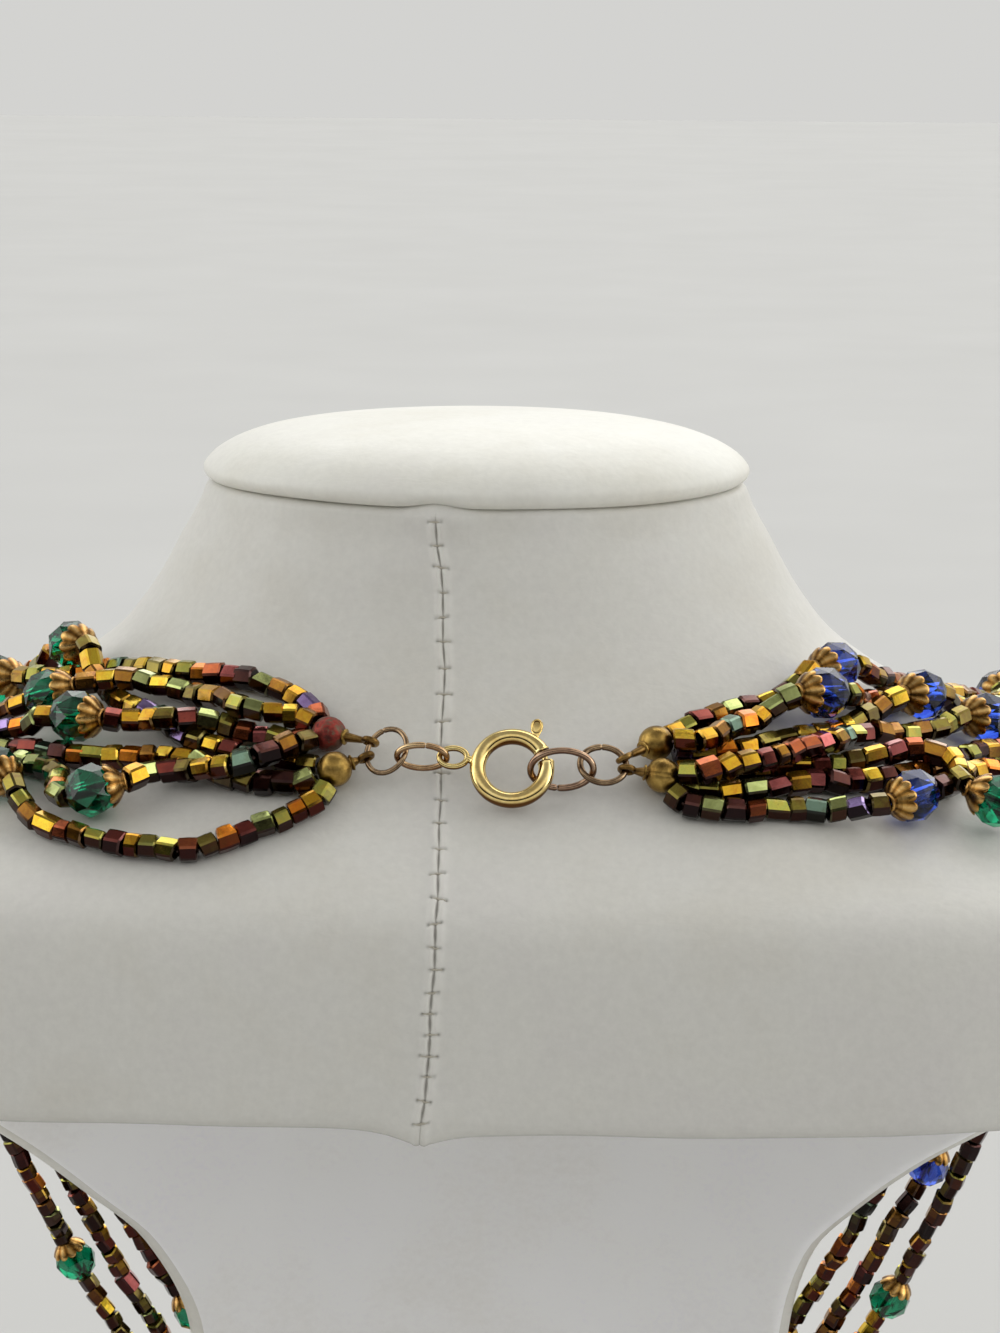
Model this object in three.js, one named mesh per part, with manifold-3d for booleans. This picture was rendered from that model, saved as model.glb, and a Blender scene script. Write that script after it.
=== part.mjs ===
// Layered beaded necklace of seven strands on a plain neck bust, millimetres, +Z up.
// The clasp and the nape face -Y, the chest faces +Y, the foot stands on z = 0.
import * as THREE from "three";
import { mergeVertices } from "three/addons/utils/BufferGeometryUtils.js";
import Module from "manifold-3d";
const wasm = await Module();
wasm.setup();

// ---------------------------------------------------------------- driving sizes
const SEAM_Z = 240; // height of the seam under the padded cap
const FOOT_T = 6; // foot board thickness
const FOOT_W = 66, FOOT_D = 60, FOOT_Y = 9; // its half width, half depth and middle
const GAP = 0.3; // daylight left between pieces that touch
const WALL = 4.5; // bust shell wall
const TOP_H = -1.1; // top of the bust's shell, just under the cap
const ROOF = 4; // its thickness there
const RIM_H = -69.5; // lower rim of the back and of the sides
const SEGS = 36; // segments round the neck
const FRONT_COLS = 12; // columns across the front panel

const SEED_R = 1.15; // strung seed beads, radius
const THREAD_R = 0.3; // bare thread where a glass bead is threaded on
const GLASS_R = 3.25; // faceted glass bead, radius
const GLASS_PITCH = 58; // about one glass bead in this length of strand
const BORE_R = 0.72; // hole through a glass bead
const OWN_GLASS = 36; // glass beads that are pieces of their own, the rest are joined on their strand
const CLEAR = 0.68; // least daylight asked for while the strands are settled
const STRAND_SIDES = 5; // sides of the beaded strand
const STEP = 1.5; // spacing of the points that are settled

const BALL_R = 2.15; // knot covers at the strand ends
const RING_R = 4.1; // spring ring, centre line
const RING_TUBE = 0.9;
const GATE_OPEN = 28; // the lever's travel round the ring, degrees

// One row per level of the bust. h: below the seam; side: half width; back, front: depths;
// nb, nf: how square the back and the front half of that level are (2 = ellipse).
const LEVELS = [
  // h, side, back, front, nb, nf
  [0.0, 36.4, 29.5, 29.0, 2.0, 2.0],
  [-5.5, 37.9, 30.4, 30.0, 2.0, 2.0],
  [-11.0, 40.4, 32.4, 31.5, 2.05, 2.0],
  [-16.5, 43.8, 35.3, 34.0, 2.1, 2.0],
  [-22.0, 48.6, 39.2, 37.0, 2.2, 2.1],
  [-28.0, 57.5, 45.0, 41.0, 2.4, 2.1],
  [-33.5, 69.0, 52.0, 45.0, 2.8, 2.2],
  [-39.0, 82.0, 59.5, 49.5, 3.3, 2.3],
  [-43.5, 91.5, 64.6, 53.0, 3.9, 2.3],
  [-48.0, 96.0, 66.4, 56.0, 4.0, 2.4],
  [-56.0, 98.0, 66.8, 60.0, 4.0, 2.4],
  [-70.5, 98.0, 66.2, 64.5, 4.0, 2.4],
];
// Half widths of the front panel below the arms; its right edge is cut a little narrower.
const PANEL = [
  // h, left, right
  [-62, 97.5, 97.5],
  [-72, 97.5, 97.5],
  [-84, 95.5, 95.5],
  [-97, 88.5, 87.5],
  [-107, 78.8, 76.3],
  [-113, 72.5, 69],
  [-121, 64.5, 60.5],
  [-130, 55.5, 52.5],
  [-145, 48.5, 48.5],
  [-175, 47.5, 47.5],
  [-205, 51, 51],
  [-233.7, 57, 57],
];
// Padded cap: height above the seam, share of the seam's outline.
const CAP = [
  [-0.8, 0.965],
  [-0.2, 0.985],
  [0.7, 0.992],
  [2.0, 0.97],
  [3.5, 0.915],
  [5.0, 0.82],
  [6.2, 0.68],
  [7.0, 0.48],
  [7.4, 0.2],
];

// Routes from the clasp outwards over the shoulder. phi: degrees round from the nape (+ to +X);
// h: level; lift: centre of the strand off the skin; a trailing 1 marks the first glass bead.
const LEFT = {
  D: [[-11.7, -30.3, 1.4], [-14.8, -30.0, 1.4], [-20.0, -29.3, 1.4], [-24.9, -29.1, 1.4], [-29.4, -28.7, 1.4], [-35.2, -27.5, 1.4], [-40.7, -26.8, 1.4], [-46.5, -26.6, 1.4], [-54.4, -25.6, 1.4], [-64.7, -24.7, 1.6], [-68.2, -25.2, 3.6, 1]],
  A: [[-17.6, -25.3, 1.6], [-21.7, -23.7, 1.6], [-26.7, -23.0, 1.6], [-32.1, -22.3, 1.7], [-39.2, -22.7, 1.7], [-46.0, -22.9, 1.8], [-54.0, -23.3, 2.2], [-60.1, -24.6, 3.0], [-66.1, -26.2, 3.6], [-72.7, -27.4, 3.4], [-79.5, -29.5, 3.6, 1]],
  B: [[-17.7, -26.6, 1.8], [-20.8, -27.2, 2.8], [-24.5, -27.1, 3.2], [-31.8, -25.2, 1.8], [-35.5, -25.2, 1.7], [-42.0, -24.7, 1.8], [-47.9, -25.3, 2.6], [-52.3, -26.7, 3.4], [-56.8, -28.9, 3.8, 1], [-63.3, -30.3, 2.4]],
  C: [[-15.3, -28.2, 1.5], [-20.4, -27.9, 1.5], [-24.1, -27.7, 1.5], [-26.7, -27.5, 2.0], [-29.6, -27.8, 2.8], [-30.4, -29.2, 3.4], [-34.9, -29.0, 3.2], [-37.6, -29.5, 2.4], [-40.3, -30.1, 3.2], [-43.8, -30.7, 3.7, 1], [-50.4, -31.2, 2.8], [-54.8, -31.8, 2.2]],
  G: [[-10.3, -31.9, 1.5], [-12.6, -32.1, 1.4], [-14.6, -32.2, 1.4], [-16.0, -32.5, 1.4], [-19.2, -32.0, 1.4], [-23.8, -30.7, 1.4], [-28.1, -30.5, 1.4], [-31.5, -30.8, 1.4], [-35.8, -31.0, 1.4], [-39.7, -31.4, 1.4], [-47.0, -31.4, 1.5], [-52.2, -31.9, 1.4]],
  E: [[-12.9, -29.7, 3.0], [-14.0, -30.4, 3.8], [-14.7, -31.6, 3.9], [-16.5, -32.1, 3.9], [-17.5, -32.6, 3.6], [-20.5, -32.3, 2.6], [-24.9, -31.9, 1.8], [-26.9, -32.8, 1.8], [-26.9, -33.8, 2.8], [-27.4, -35.2, 3.7, 1], [-29.0, -35.7, 3.4], [-34.1, -34.2, 2.2], [-40.1, -32.9, 1.6], [-49.4, -32.8, 1.5]],
  F: [[-7.4, -33.4, 1.5], [-8.0, -34.6, 1.5], [-9.1, -35.9, 1.5], [-10.3, -36.6, 1.5], [-11.0, -37.9, 1.5], [-12.5, -38.7, 1.5], [-15.8, -38.2, 1.5], [-19.4, -38.3, 1.5], [-23.6, -37.8, 1.5], [-29.1, -37.3, 1.5], [-33.2, -36.6, 2.0], [-38.5, -35.6, 3.3], [-43.7, -34.7, 3.6, 1], [-48.5, -34.6, 3.2], [-56.6, -35.4, 2.0], [-66.0, -36.9, 1.6]],
};
const RIGHT = {
  J: [[23.7, -27.2, 1.5], [29.1, -26.2, 1.5], [35.3, -25.6, 1.7], [41.4, -26.0, 2.6], [45.2, -26.1, 3.4], [51.1, -25.5, 4.2], [56.6, -25.6, 4.2, 1], [65.8, -26.3, 2.6], [76.4, -27.3, 1.6]],
  K: [[20.9, -29.5, 2.8], [21.3, -30.1, 2.9], [25.3, -29.3, 3.0], [30.1, -28.0, 2.6], [34.2, -27.6, 2.2], [39.3, -26.6, 1.8], [44.2, -26.2, 1.5], [46.7, -27.1, 3.4, 1], [57.4, -26.7, 1.5], [67.0, -27.3, 1.5], [82.4, -29.2, 1.5]],
  L: [[20.8, -29.3, 1.4], [23.5, -29.5, 1.4], [28.0, -29.2, 1.4], [33.3, -28.9, 1.4], [38.2, -28.4, 1.5], [42.1, -28.4, 2.2], [49.1, -27.9, 2.6], [55.5, -27.6, 2.6], [61.9, -27.9, 3.0], [67.8, -29.0, 3.8, 1]],
  M: [[17.3, -32.2, 2.4], [20.2, -32.2, 3.0], [22.8, -32.0, 3.4], [25.6, -31.7, 3.6], [28.4, -31.8, 3.4], [33.4, -31.0, 3.2], [36.7, -31.0, 3.0], [43.2, -30.1, 2.6], [50.8, -29.7, 2.2], [56.5, -30.1, 2.0], [63.3, -30.4, 2.4], [71.9, -30.7, 3.2], [76.0, -31.6, 4.0, 1]],
  Q: [[18.5, -31.4, 1.5], [20.3, -32.6, 1.4], [22.0, -32.8, 1.4], [26.9, -32.5, 1.4], [32.3, -32.1, 1.4], [39.8, -32.7, 1.4], [45.3, -32.7, 1.4], [51.5, -32.9, 1.4], [60.0, -32.8, 1.4], [69.8, -33.1, 1.5]],
  P: [[15.0, -33.2, 1.5], [15.9, -33.9, 1.5], [18.4, -34.2, 1.5], [22.3, -34.3, 1.5], [26.6, -34.4, 1.5], [29.7, -35.0, 1.5], [33.3, -35.4, 2.2], [36.1, -35.5, 3.2], [39.5, -35.5, 3.6, 1], [51.4, -34.2, 1.5], [61.6, -33.8, 1.8]],
  N: [[17.6, -31.0, 1.5], [20.5, -31.0, 1.5], [24.5, -31.0, 1.5], [29.5, -31.0, 1.4], [34.2, -31.0, 1.4], [39.7, -31.6, 1.6], [43.4, -31.7, 2.0], [48.9, -32.0, 2.6], [53.0, -32.9, 2.6], [50.9, -34.3, 2.8], [47.7, -35.7, 3.4], [48.1, -37.0, 3.6, 1], [50.0, -37.7, 3.4], [57.4, -37.6, 2.2], [69.1, -37.6, 1.6]],
};
// Strands from the innermost to the outermost: left route, right route, first glass of a side
// that has none marked (mm from its tip), tips they hang from, and their drape on the chest.
const STRANDS = [
  // name, left, right, leftTip, rightTip, shoulder (half width where it crosses), bottom h
  ["strand_1", "D", "J", "tip_ll", "tip_ru", 63.5, -146],
  ["strand_2", "A", "K", "tip_lu", "tip_ru", 67.5, -154],
  ["strand_3", "B", "L", "tip_lu", "tip_ru", 71.5, -162],
  ["strand_4", "C", "M", "tip_lu", "tip_rl", 75.5, -170],
  ["strand_5", "G", "Q", "tip_ll", "tip_rl", 79.5, -178],
  ["strand_6", "E", "P", "tip_lu", "tip_rl", 83.5, -186],
  ["strand_7", "F", "N", "tip_ll", "tip_rl", 87.5, -194],
];
// Knot covers: where the ball sits, and where its loop sits.
const TIPS = {
  // ball phi, h, lift; loop phi, h, lift
  tip_lu: [-12.17, -27.8, 2.5, -7.02, -28.64, 2.96],
  tip_ll: [-8.28, -31.21, 2.5, -6.53, -29.97, 2.46],
  tip_ru: [19.14, -28.59, 2.5, 13.46, -30.29, 3.23],
  tip_rl: [15.88, -31.61, 2.5, 12.64, -31.25, 2.99],
};
// Wire rings of the fastening: place, half width and half height of the wire's centre line,
// wire radius, how far the ring faces up, how far it is turned to +X.
const RINGS = {
  // phi, h, lift, a, b, wire, up, turn
  jump_left: [-4.87, -29.66, 3.19, 2.5, 2.94, 0.32, 38.5, -21.44],
  oval_left: [-1.83, -30.36, 3.63, 2.98, 1.74, 0.35, -25.18, -2.45],
  link_right_1: [6.67, -31.31, 3.34, 3.75, 2.5, 0.34, -14.05, 3.77],
  link_right_2: [10.73, -30.88, 3.2, 2.77, 2.58, 0.33, 47.15, 9.65],
};
const CLASP = { phi: 2.91, h: -31.23, lift: 3.35, up: 36 };

// ---------------------------------------------------------------- the bust's skin
const rad = (d) => (d * Math.PI) / 180;
const sgn = (v) => (v < 0 ? -1 : 1);
// A row of the table between two rows, smooth through every row.
function rowAt(table, h) {
  const n = table.length;
  if (h >= table[0][0]) return table[0].slice(1);
  if (h <= table[n - 1][0]) return table[n - 1].slice(1);
  let i = 0;
  while (h < table[i + 1][0]) i++;
  const slope = (j, c) => {
    const a = Math.max(0, j - 1), b = Math.min(n - 1, j + 1);
    return (table[b][c] - table[a][c]) / (table[b][0] - table[a][0]);
  };
  const d = table[i + 1][0] - table[i][0], t = (h - table[i][0]) / d;
  const t2 = t * t, t3 = t2 * t;
  return table[i].slice(1).map((_, k) =>
    (2 * t3 - 3 * t2 + 1) * table[i][k + 1] + (t3 - 2 * t2 + t) * d * slope(i, k + 1) +
    (-2 * t3 + 3 * t2) * table[i + 1][k + 1] + (t3 - t2) * d * slope(i + 1, k + 1));
}
// Point of the skin at phi and h, drawn in by an inset.
function skin(phi, h, inset = 0) {
  const [side, back, front, nb, nf] = rowAt(LEVELS, h);
  const c = Math.cos(rad(phi)), s = Math.sin(rad(phi));
  const n = c >= 0 ? nb : nf, depth = (c >= 0 ? back : front) - inset;
  return [
    (side - inset) * sgn(s) * Math.pow(Math.abs(s), 2 / n),
    -depth * sgn(c) * Math.pow(Math.abs(c), 2 / n),
    h,
  ];
}
const sub = (a, b) => [a[0] - b[0], a[1] - b[1], a[2] - b[2]];
const add = (a, b, k = 1) => [a[0] + k * b[0], a[1] + k * b[1], a[2] + k * b[2]];
const dot = (a, b) => a[0] * b[0] + a[1] * b[1] + a[2] * b[2];
const cross = (a, b) => [a[1] * b[2] - a[2] * b[1], a[2] * b[0] - a[0] * b[2], a[0] * b[1] - a[1] * b[0]];
const len = (a) => Math.sqrt(dot(a, a));
const unit = (a) => { const l = len(a) || 1; return [a[0] / l, a[1] / l, a[2] / l]; };
const E = 0.4;
function frameAt(phi, h) {
  const dp = sub(skin(phi + E, h), skin(phi - E, h)).map((v) => v / (2 * E));
  const dh = sub(skin(phi, h + E), skin(phi, h - E)).map((v) => v / (2 * E));
  return { p: skin(phi, h), dp, dh, n: unit(cross(dp, dh)) };
}
const onSkin = (phi, h, lift) => { const f = frameAt(phi, h); return add(f.p, f.n, lift); };

// ---------------------------------------------------------------- the strands' routes
// Half width a of the chain curve that spans +-w and hangs down by drop.
function chainSize(w, drop) {
  let lo = 4, hi = 4000;
  for (let k = 0; k < 80; k++) {
    const a = (lo + hi) / 2;
    if (a * (Math.cosh(w / a) - 1) > drop) lo = a; else hi = a;
  }
  return (lo + hi) / 2;
}
const DRAPE_TOP = -47, DRAPE_ROWS = 9;
// Rows over the shoulder and down the chest to the middle; side -1 left, +1 right.
function drapeRows(side, shoulder, bottom) {
  let lo = -48, hi = -20; // the level at which the skin is as wide as the crossing
  for (let k = 0; k < 60; k++) {
    const m = (lo + hi) / 2;
    if (rowAt(LEVELS, m)[0] > shoulder) lo = m; else hi = m;
  }
  const rows = [[side * 90, lo, 1.6]];
  const w = shoulder * 1.04, a = chainSize(w, DRAPE_TOP - bottom);
  for (let k = 0; k < DRAPE_ROWS; k++) {
    const u = 1 - k / DRAPE_ROWS; // even steps along the chain's length
    const x = a * Math.asinh(u * Math.sinh(w / a));
    const h = bottom + a * (Math.cosh(x / a) - 1);
    const [ax, , , , nf] = rowAt(LEVELS, h);
    const phi = 180 - (180 / Math.PI) * Math.asin(Math.pow(x / ax, nf / 2));
    rows.push([side * phi, h, 1.6]);
  }
  return rows;
}
// Dense points through the rows, smooth, about STEP apart.
function through(rows) {
  const knots = rows.map((r) => onSkin(r[0], r[1], r[2]));
  const s = [0];
  for (let i = 1; i < rows.length; i++) s.push(s[i - 1] + len(sub(knots[i], knots[i - 1])));
  const slope = (j, c) => {
    const a = Math.max(0, j - 1), b = Math.min(rows.length - 1, j + 1);
    return (rows[b][c] - rows[a][c]) / (s[b] - s[a]);
  };
  const out = [], marks = [];
  for (let i = 0; i + 1 < rows.length; i++) {
    const d = s[i + 1] - s[i], n = Math.max(1, Math.round(d / STEP));
    if (rows[i][3]) marks.push(out.length);
    for (let k = 0; k < n; k++) {
      const t = k / n, t2 = t * t, t3 = t2 * t;
      out.push([0, 1, 2].map((c) =>
        (2 * t3 - 3 * t2 + 1) * rows[i][c] + (t3 - 2 * t2 + t) * d * slope(i, c) +
        (-2 * t3 + 3 * t2) * rows[i + 1][c] + (t3 - t2) * d * slope(i + 1, c)));
    }
  }
  out.push(rows[rows.length - 1].slice(0, 3));
  return { points: out, marks };
}
function route([name, left, right, leftTip, rightTip, shoulder, bottom]) {
  const l = LEFT[left], r = RIGHT[right];
  const rows = [
    ...l.map((q) => q.slice()),
    ...drapeRows(-1, shoulder, bottom),
    [-180, bottom, 1.6],
    ...drapeRows(1, shoulder, bottom).reverse(),
    ...r.map((q) => q.slice()).reverse(),
  ];
  // phi runs on through the middle of the chest instead of jumping from -180 to 180
  rows.forEach((q, i) => { if (i > l.length + DRAPE_ROWS + 1) q[0] -= 360; });
  const { points, marks } = through(rows);
  return { name, leftTip, rightTip, points, marks };
}
// Glass profile along its hole: [distance along the strand, radius]; the metal cap is on the
// side that faces the clasp.
const GLASS = [[-3.95, 1.5], [-3.7, 2.15], [-1.4, GLASS_R], [1.3, GLASS_R], [3.0, 2.2], [3.1, 1.5]];
function glassRadius(d) {
  if (d <= GLASS[0][0] || d >= GLASS[GLASS.length - 1][0]) return 0;
  let i = 0;
  while (d > GLASS[i + 1][0]) i++;
  const t = (d - GLASS[i][0]) / (GLASS[i + 1][0] - GLASS[i][0]);
  return GLASS[i][1] + t * (GLASS[i + 1][1] - GLASS[i][1]);
}
const place = (p) => { const f = frameAt(p[0], p[1]); return { at: add(f.p, f.n, p[2]), f }; };

const strands = STRANDS.map(route);
for (const st of strands) {
  const at = st.points.map((p) => place(p).at);
  st.s = [0];
  for (let i = 1; i < at.length; i++) st.s.push(st.s[i - 1] + len(sub(at[i], at[i - 1])));
  const total = st.s[st.s.length - 1];
  const nearest = (v) => { let b = 0; st.s.forEach((q, i) => { if (Math.abs(q - v) < Math.abs(st.s[b] - v)) b = i; }); return b; };
  const half = st.points.length / 2;
  const first = st.marks.find((m) => m < half) ?? nearest(64);
  const last = st.marks.find((m) => m > half) ?? nearest(total - 62);
  const n = Math.max(1, Math.round((st.s[last] - st.s[first]) / GLASS_PITCH));
  st.glass = [];
  for (let k = 0; k <= n; k++) {
    const i = k === 0 ? first : k === n ? last : nearest(st.s[first] + ((st.s[last] - st.s[first]) * k) / n);
    st.glass.push({ i, side: k <= n / 2 ? 1 : -1 }); // side: which way along the points the cap's far end lies
  }
  // the strand rises to the height of the bead's hole on either side of it
  st.points.forEach((p, i) => st.glass.forEach((g) => {
    const d = Math.abs(st.s[i] - st.s[g.i]);
    const t = Math.min(1, Math.max(0, (10.5 - d) / 6));
    p[2] = Math.max(p[2], 1.5 + (GLASS_R + GAP + 0.1 - 1.5) * t * t * (3 - 2 * t));
  }));
  st.radius = st.s.map((q) => Math.max(SEED_R, ...st.glass.map((g) => glassRadius((q - st.s[g.i]) * g.side))));
  st.length = total;
}

// Settle: lift every strand clear of the skin and of the strands and beads beside it.
function settle() {
  const all = [];
  strands.forEach((st, k) => st.points.forEach((p, i) => all.push({ k, i, p, home: p.slice(), r: st.radius[i] })));
  const tips = Object.values(TIPS).map((t) => ({ at: onSkin(t[0], t[1], t[2]), r: BALL_R }));
  let pairs = [];
  const where = () => all.map((q) => { const w = place(q.p); q.at = w.at; q.f = w.f; return q; });
  for (let round = 0; round < 100; round++) {
    where();
    if (round % 15 === 0) {
      pairs = [];
      const grid = new Map(), cell = 9;
      all.forEach((q, a) => {
        const c = q.at.map((v) => Math.floor(v / cell));
        const key = c.join();
        if (!grid.has(key)) grid.set(key, []);
        grid.get(key).push(a);
      });
      all.forEach((q, a) => {
        const c = q.at.map((v) => Math.floor(v / cell));
        for (let x = -1; x < 2; x++) for (let y = -1; y < 2; y++) for (let z = -1; z < 2; z++)
          for (const b of grid.get([c[0] + x, c[1] + y, c[2] + z].join()) ?? [])
            if (b > a && all[b].k !== q.k) pairs.push([a, b]);
      });
    }
    const push = all.map(() => [0, 0, 0]);
    for (const [a, b] of pairs) {
      const d = sub(all[a].at, all[b].at), l = len(d), need = all[a].r + all[b].r + CLEAR;
      if (l < need) {
        const m = (0.42 * (need - l)) / (l || 1);
        push[a] = add(push[a], d, m);
        push[b] = add(push[b], d, -m);
      }
    }
    all.forEach((q, a) => {
      for (const t of tips) {
        const d = sub(q.at, t.at), l = len(d), need = q.r + t.r + CLEAR - 0.1;
        if (l < need) push[a] = add(push[a], d, (0.5 * (need - l)) / l);
      }
      const m = len(push[a]);
      if (m > 0.8) push[a] = push[a].map((v) => (v * 0.8) / m);
      q.p[2] += dot(push[a], q.f.n);
      q.p[0] += dot(push[a], q.f.dp) / Math.max(0.05, dot(q.f.dp, q.f.dp));
      q.p[1] += dot(push[a], q.f.dh) / dot(q.f.dh, q.f.dh);
    });
    // spread each push along its strand, and let it ease back towards where it hung
    const ease = round < 75 ? 0.012 : 0;
    for (const st of strands) {
      const own = all.filter((q) => q.k === strands.indexOf(st));
      const off = own.map((q) => [0, 1, 2].map((c) => q.p[c] - q.home[c]));
      own.forEach((q, i) => {
        const a = off[Math.max(0, i - 1)], b = off[Math.min(own.length - 1, i + 1)];
        for (let c = 0; c < 3; c++) q.p[c] = q.home[c] + ((a[c] + b[c]) * 0.2 + off[i][c] * 0.6) * (1 - ease);
        q.p[2] = Math.max(q.p[2], q.r + GAP + 0.12);
      });
    }
  }
  where();
  for (const st of strands) st.at = [];
  all.forEach((q) => { strands[q.k].at[q.i] = q.at; });
}
settle();
// A glass bead is straight, so its stretch of strand is too.
for (const st of strands) {
  for (let k = 0; k < 3; k++)
    st.at = st.at.map((p, i) => (i === 0 || i === st.at.length - 1 ? p : [0, 1, 2].map((c) => 0.5 * p[c] + 0.25 * (st.at[i - 1][c] + st.at[i + 1][c]))));
  const base = st.at.map((p) => p.slice());
  const run = [0];
  for (let i = 1; i < base.length; i++) run.push(run[i - 1] + len(sub(base[i], base[i - 1])));
  for (const g of st.glass) {
    const a = Math.max(0, g.i - 2), b = Math.min(base.length - 1, g.i + 2);
    g.at = base[g.i];
    g.dir = unit(sub(base[b], base[a]));
    for (let i = Math.max(1, g.i - 5); i <= Math.min(base.length - 2, g.i + 5); i++) {
      const on = add(g.at, g.dir, run[i] - run[g.i]);
      const t = Math.min(1, Math.max(0, (7.5 - Math.abs(run[i] - run[g.i])) / 3)); // all on the line within 4.5, free past 7.5
      st.at[i] = add(st.at[i], sub(on, st.at[i]), t);
    }
    if (g.side < 0) g.dir = g.dir.map((v) => -v);
    // the first points clear of the bead on either side
    g.lo = g.i; g.hi = g.i;
    while (g.lo > 0 && run[g.i] - run[g.lo] < 5) g.lo--;
    while (g.hi < base.length - 1 && run[g.hi] - run[g.i] < 5) g.hi++;
  }
}

// ---------------------------------------------------------------- making solids
function geometryOf(verts, faces) {
  const g = new THREE.BufferGeometry();
  g.setAttribute("position", new THREE.Float32BufferAttribute(verts.flat(), 3));
  g.setIndex(faces.flat());
  return g;
}
function solidOf(g) {
  const m = mergeVertices(new THREE.BufferGeometry().setAttribute("position", (g.index ? g.toNonIndexed() : g).getAttribute("position")), 1e-4);
  return new wasm.Manifold(new wasm.Mesh({ numProp: 3, vertProperties: m.attributes.position.array, triVerts: new Uint32Array(m.index.array) }));
}
function geometryFrom(solid) {
  const m = solid.getMesh(), v = new Float32Array(m.numVert * 3);
  for (let i = 0; i < m.numVert; i++) v.set(m.vertProperties.subarray(i * m.numProp, i * m.numProp + 3), i * 3);
  const g = new THREE.BufferGeometry();
  g.setAttribute("position", new THREE.BufferAttribute(v, 3));
  g.setIndex(new THREE.BufferAttribute(new Uint32Array(m.triVerts), 1));
  return g;
}
// Closed solid through loops of equal count; its ends are fans about their own centres.
function loft(loops) {
  const n = loops[0].length, verts = loops.flat(), faces = [];
  for (let r = 0; r + 1 < loops.length; r++)
    for (let i = 0; i < n; i++) {
      const a = r * n + i, b = r * n + ((i + 1) % n);
      faces.push([a, b, b + n], [a, b + n, a + n]);
    }
  const mid = (loop) => loop.reduce((m, p) => add(m, p, 1 / n), [0, 0, 0]);
  const s = verts.length;
  verts.push(mid(loops[0]), mid(loops[loops.length - 1]));
  for (let i = 0; i < n; i++) {
    const j = (i + 1) % n, e = (loops.length - 1) * n;
    faces.push([s, j, i], [s + 1, e + i, e + j]);
  }
  return geometryOf(verts, faces);
}
// The same, turned face out if its loops ran the other way.
function loftOut(loops) {
  const g = loft(loops);
  if (solidOf(g).volume() > 0) return g;
  return loft(loops.map((l) => l.slice().reverse()));
}
// Tube along points with a radius each.
function tube(points, radii, sides = 6, along = []) {
  const loops = [];
  let up = null;
  points.forEach((p, i) => {
    const a = points[Math.max(0, i - 1)], b = points[Math.min(points.length - 1, i + 1)];
    const t = along[i] ?? unit(sub(b, a));
    if (!up) up = unit(cross(Math.abs(t[2]) < 0.9 ? [0, 0, 1] : [1, 0, 0], t));
    up = unit(add(up, t, -dot(up, t)));
    const w = cross(t, up), loop = [];
    for (let k = 0; k < sides; k++) {
      const q = (2 * Math.PI * (k + 0.5)) / sides;
      loop.push(add(add(p, up, radii[i] * Math.cos(q)), w, radii[i] * Math.sin(q)));
    }
    loops.push(loop);
  });
  return loftOut(loops);
}
// Frame of a ring: n faces out of it, e1 across, e2 up.
function ringFrame(up, turn) {
  const n = [Math.sin(rad(turn)) * Math.cos(rad(up)), -Math.cos(rad(turn)) * Math.cos(rad(up)), Math.sin(rad(up))];
  const e1 = [Math.cos(rad(turn)), Math.sin(rad(turn)), 0];
  return { n, e1, e2: cross(n, e1) };
}
// Profile [out, along n] carried round an ellipse a x b from one angle to another.
function around(centre, f, a, b, profile, from, to, steps) {
  const closed = Math.abs(to - from - 360) < 1e-6, loops = [];
  for (let k = 0; k <= (closed ? steps - 1 : steps); k++) {
    const q = rad(from + ((to - from) * k) / steps), c = Math.cos(q), s = Math.sin(q);
    const on = add(add(centre, f.e1, a * c), f.e2, b * s);
    const out = unit(add([f.e1[0] * c * b, f.e1[1] * c * b, f.e1[2] * c * b], f.e2, a * s));
    loops.push(profile.map(([o, n]) => add(add(on, out, o), f.n, n)));
  }
  if (!closed) return loftOut(loops);
  const n = profile.length, verts = loops.flat();
  const build = (flip) => {
    const faces = [];
    for (let r = 0; r < steps; r++)
      for (let i = 0; i < n; i++) {
        const a0 = r * n + i, b0 = r * n + ((i + 1) % n), c0 = ((r + 1) % steps) * n + i, d0 = ((r + 1) % steps) * n + ((i + 1) % n);
        if (flip) faces.push([a0, d0, b0], [a0, c0, d0]);
        else faces.push([a0, b0, d0], [a0, d0, c0]);
      }
    return geometryOf(verts, faces);
  };
  const g = build(false);
  return solidOf(g).volume() > 0 ? g : build(true);
}
const disc = (r, sides, o = 0) => Array.from({ length: sides }, (_, k) => { const q = (2 * Math.PI * (k + 0.5)) / sides; return [o + r * Math.cos(q), r * Math.sin(q)]; });
const box = (o0, o1, n) => [[o0, -n], [o1, -n], [o1, n], [o0, n]];
// Turned solid about an axis; profile [along, radius] closed back through its hole.
function turned(at, dir, profile, sides) {
  const u = unit(cross(Math.abs(dir[2]) < 0.9 ? [0, 0, 1] : [1, 0, 0], dir)), w = cross(dir, u);
  const loops = profile.map(([d, r]) => Array.from({ length: sides }, (_, k) => {
    const q = (2 * Math.PI * k) / sides;
    return add(add(add(at, dir, d), u, r * Math.cos(q)), w, r * Math.sin(q));
  }));
  const n = sides, m = loops.length, verts = loops.flat();
  const build = (flip) => {
    const faces = [];
    for (let r = 0; r < m; r++)
      for (let i = 0; i < n; i++) {
        const a = r * n + i, b = r * n + ((i + 1) % n), c = ((r + 1) % m) * n + i, d = ((r + 1) % m) * n + ((i + 1) % n);
        if (flip) faces.push([a, d, b], [a, c, d]);
        else faces.push([a, b, d], [a, d, c]);
      }
    return geometryOf(verts, faces);
  };
  const g = build(false);
  return solidOf(g).volume() > 0 ? g : build(true);
}

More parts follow.
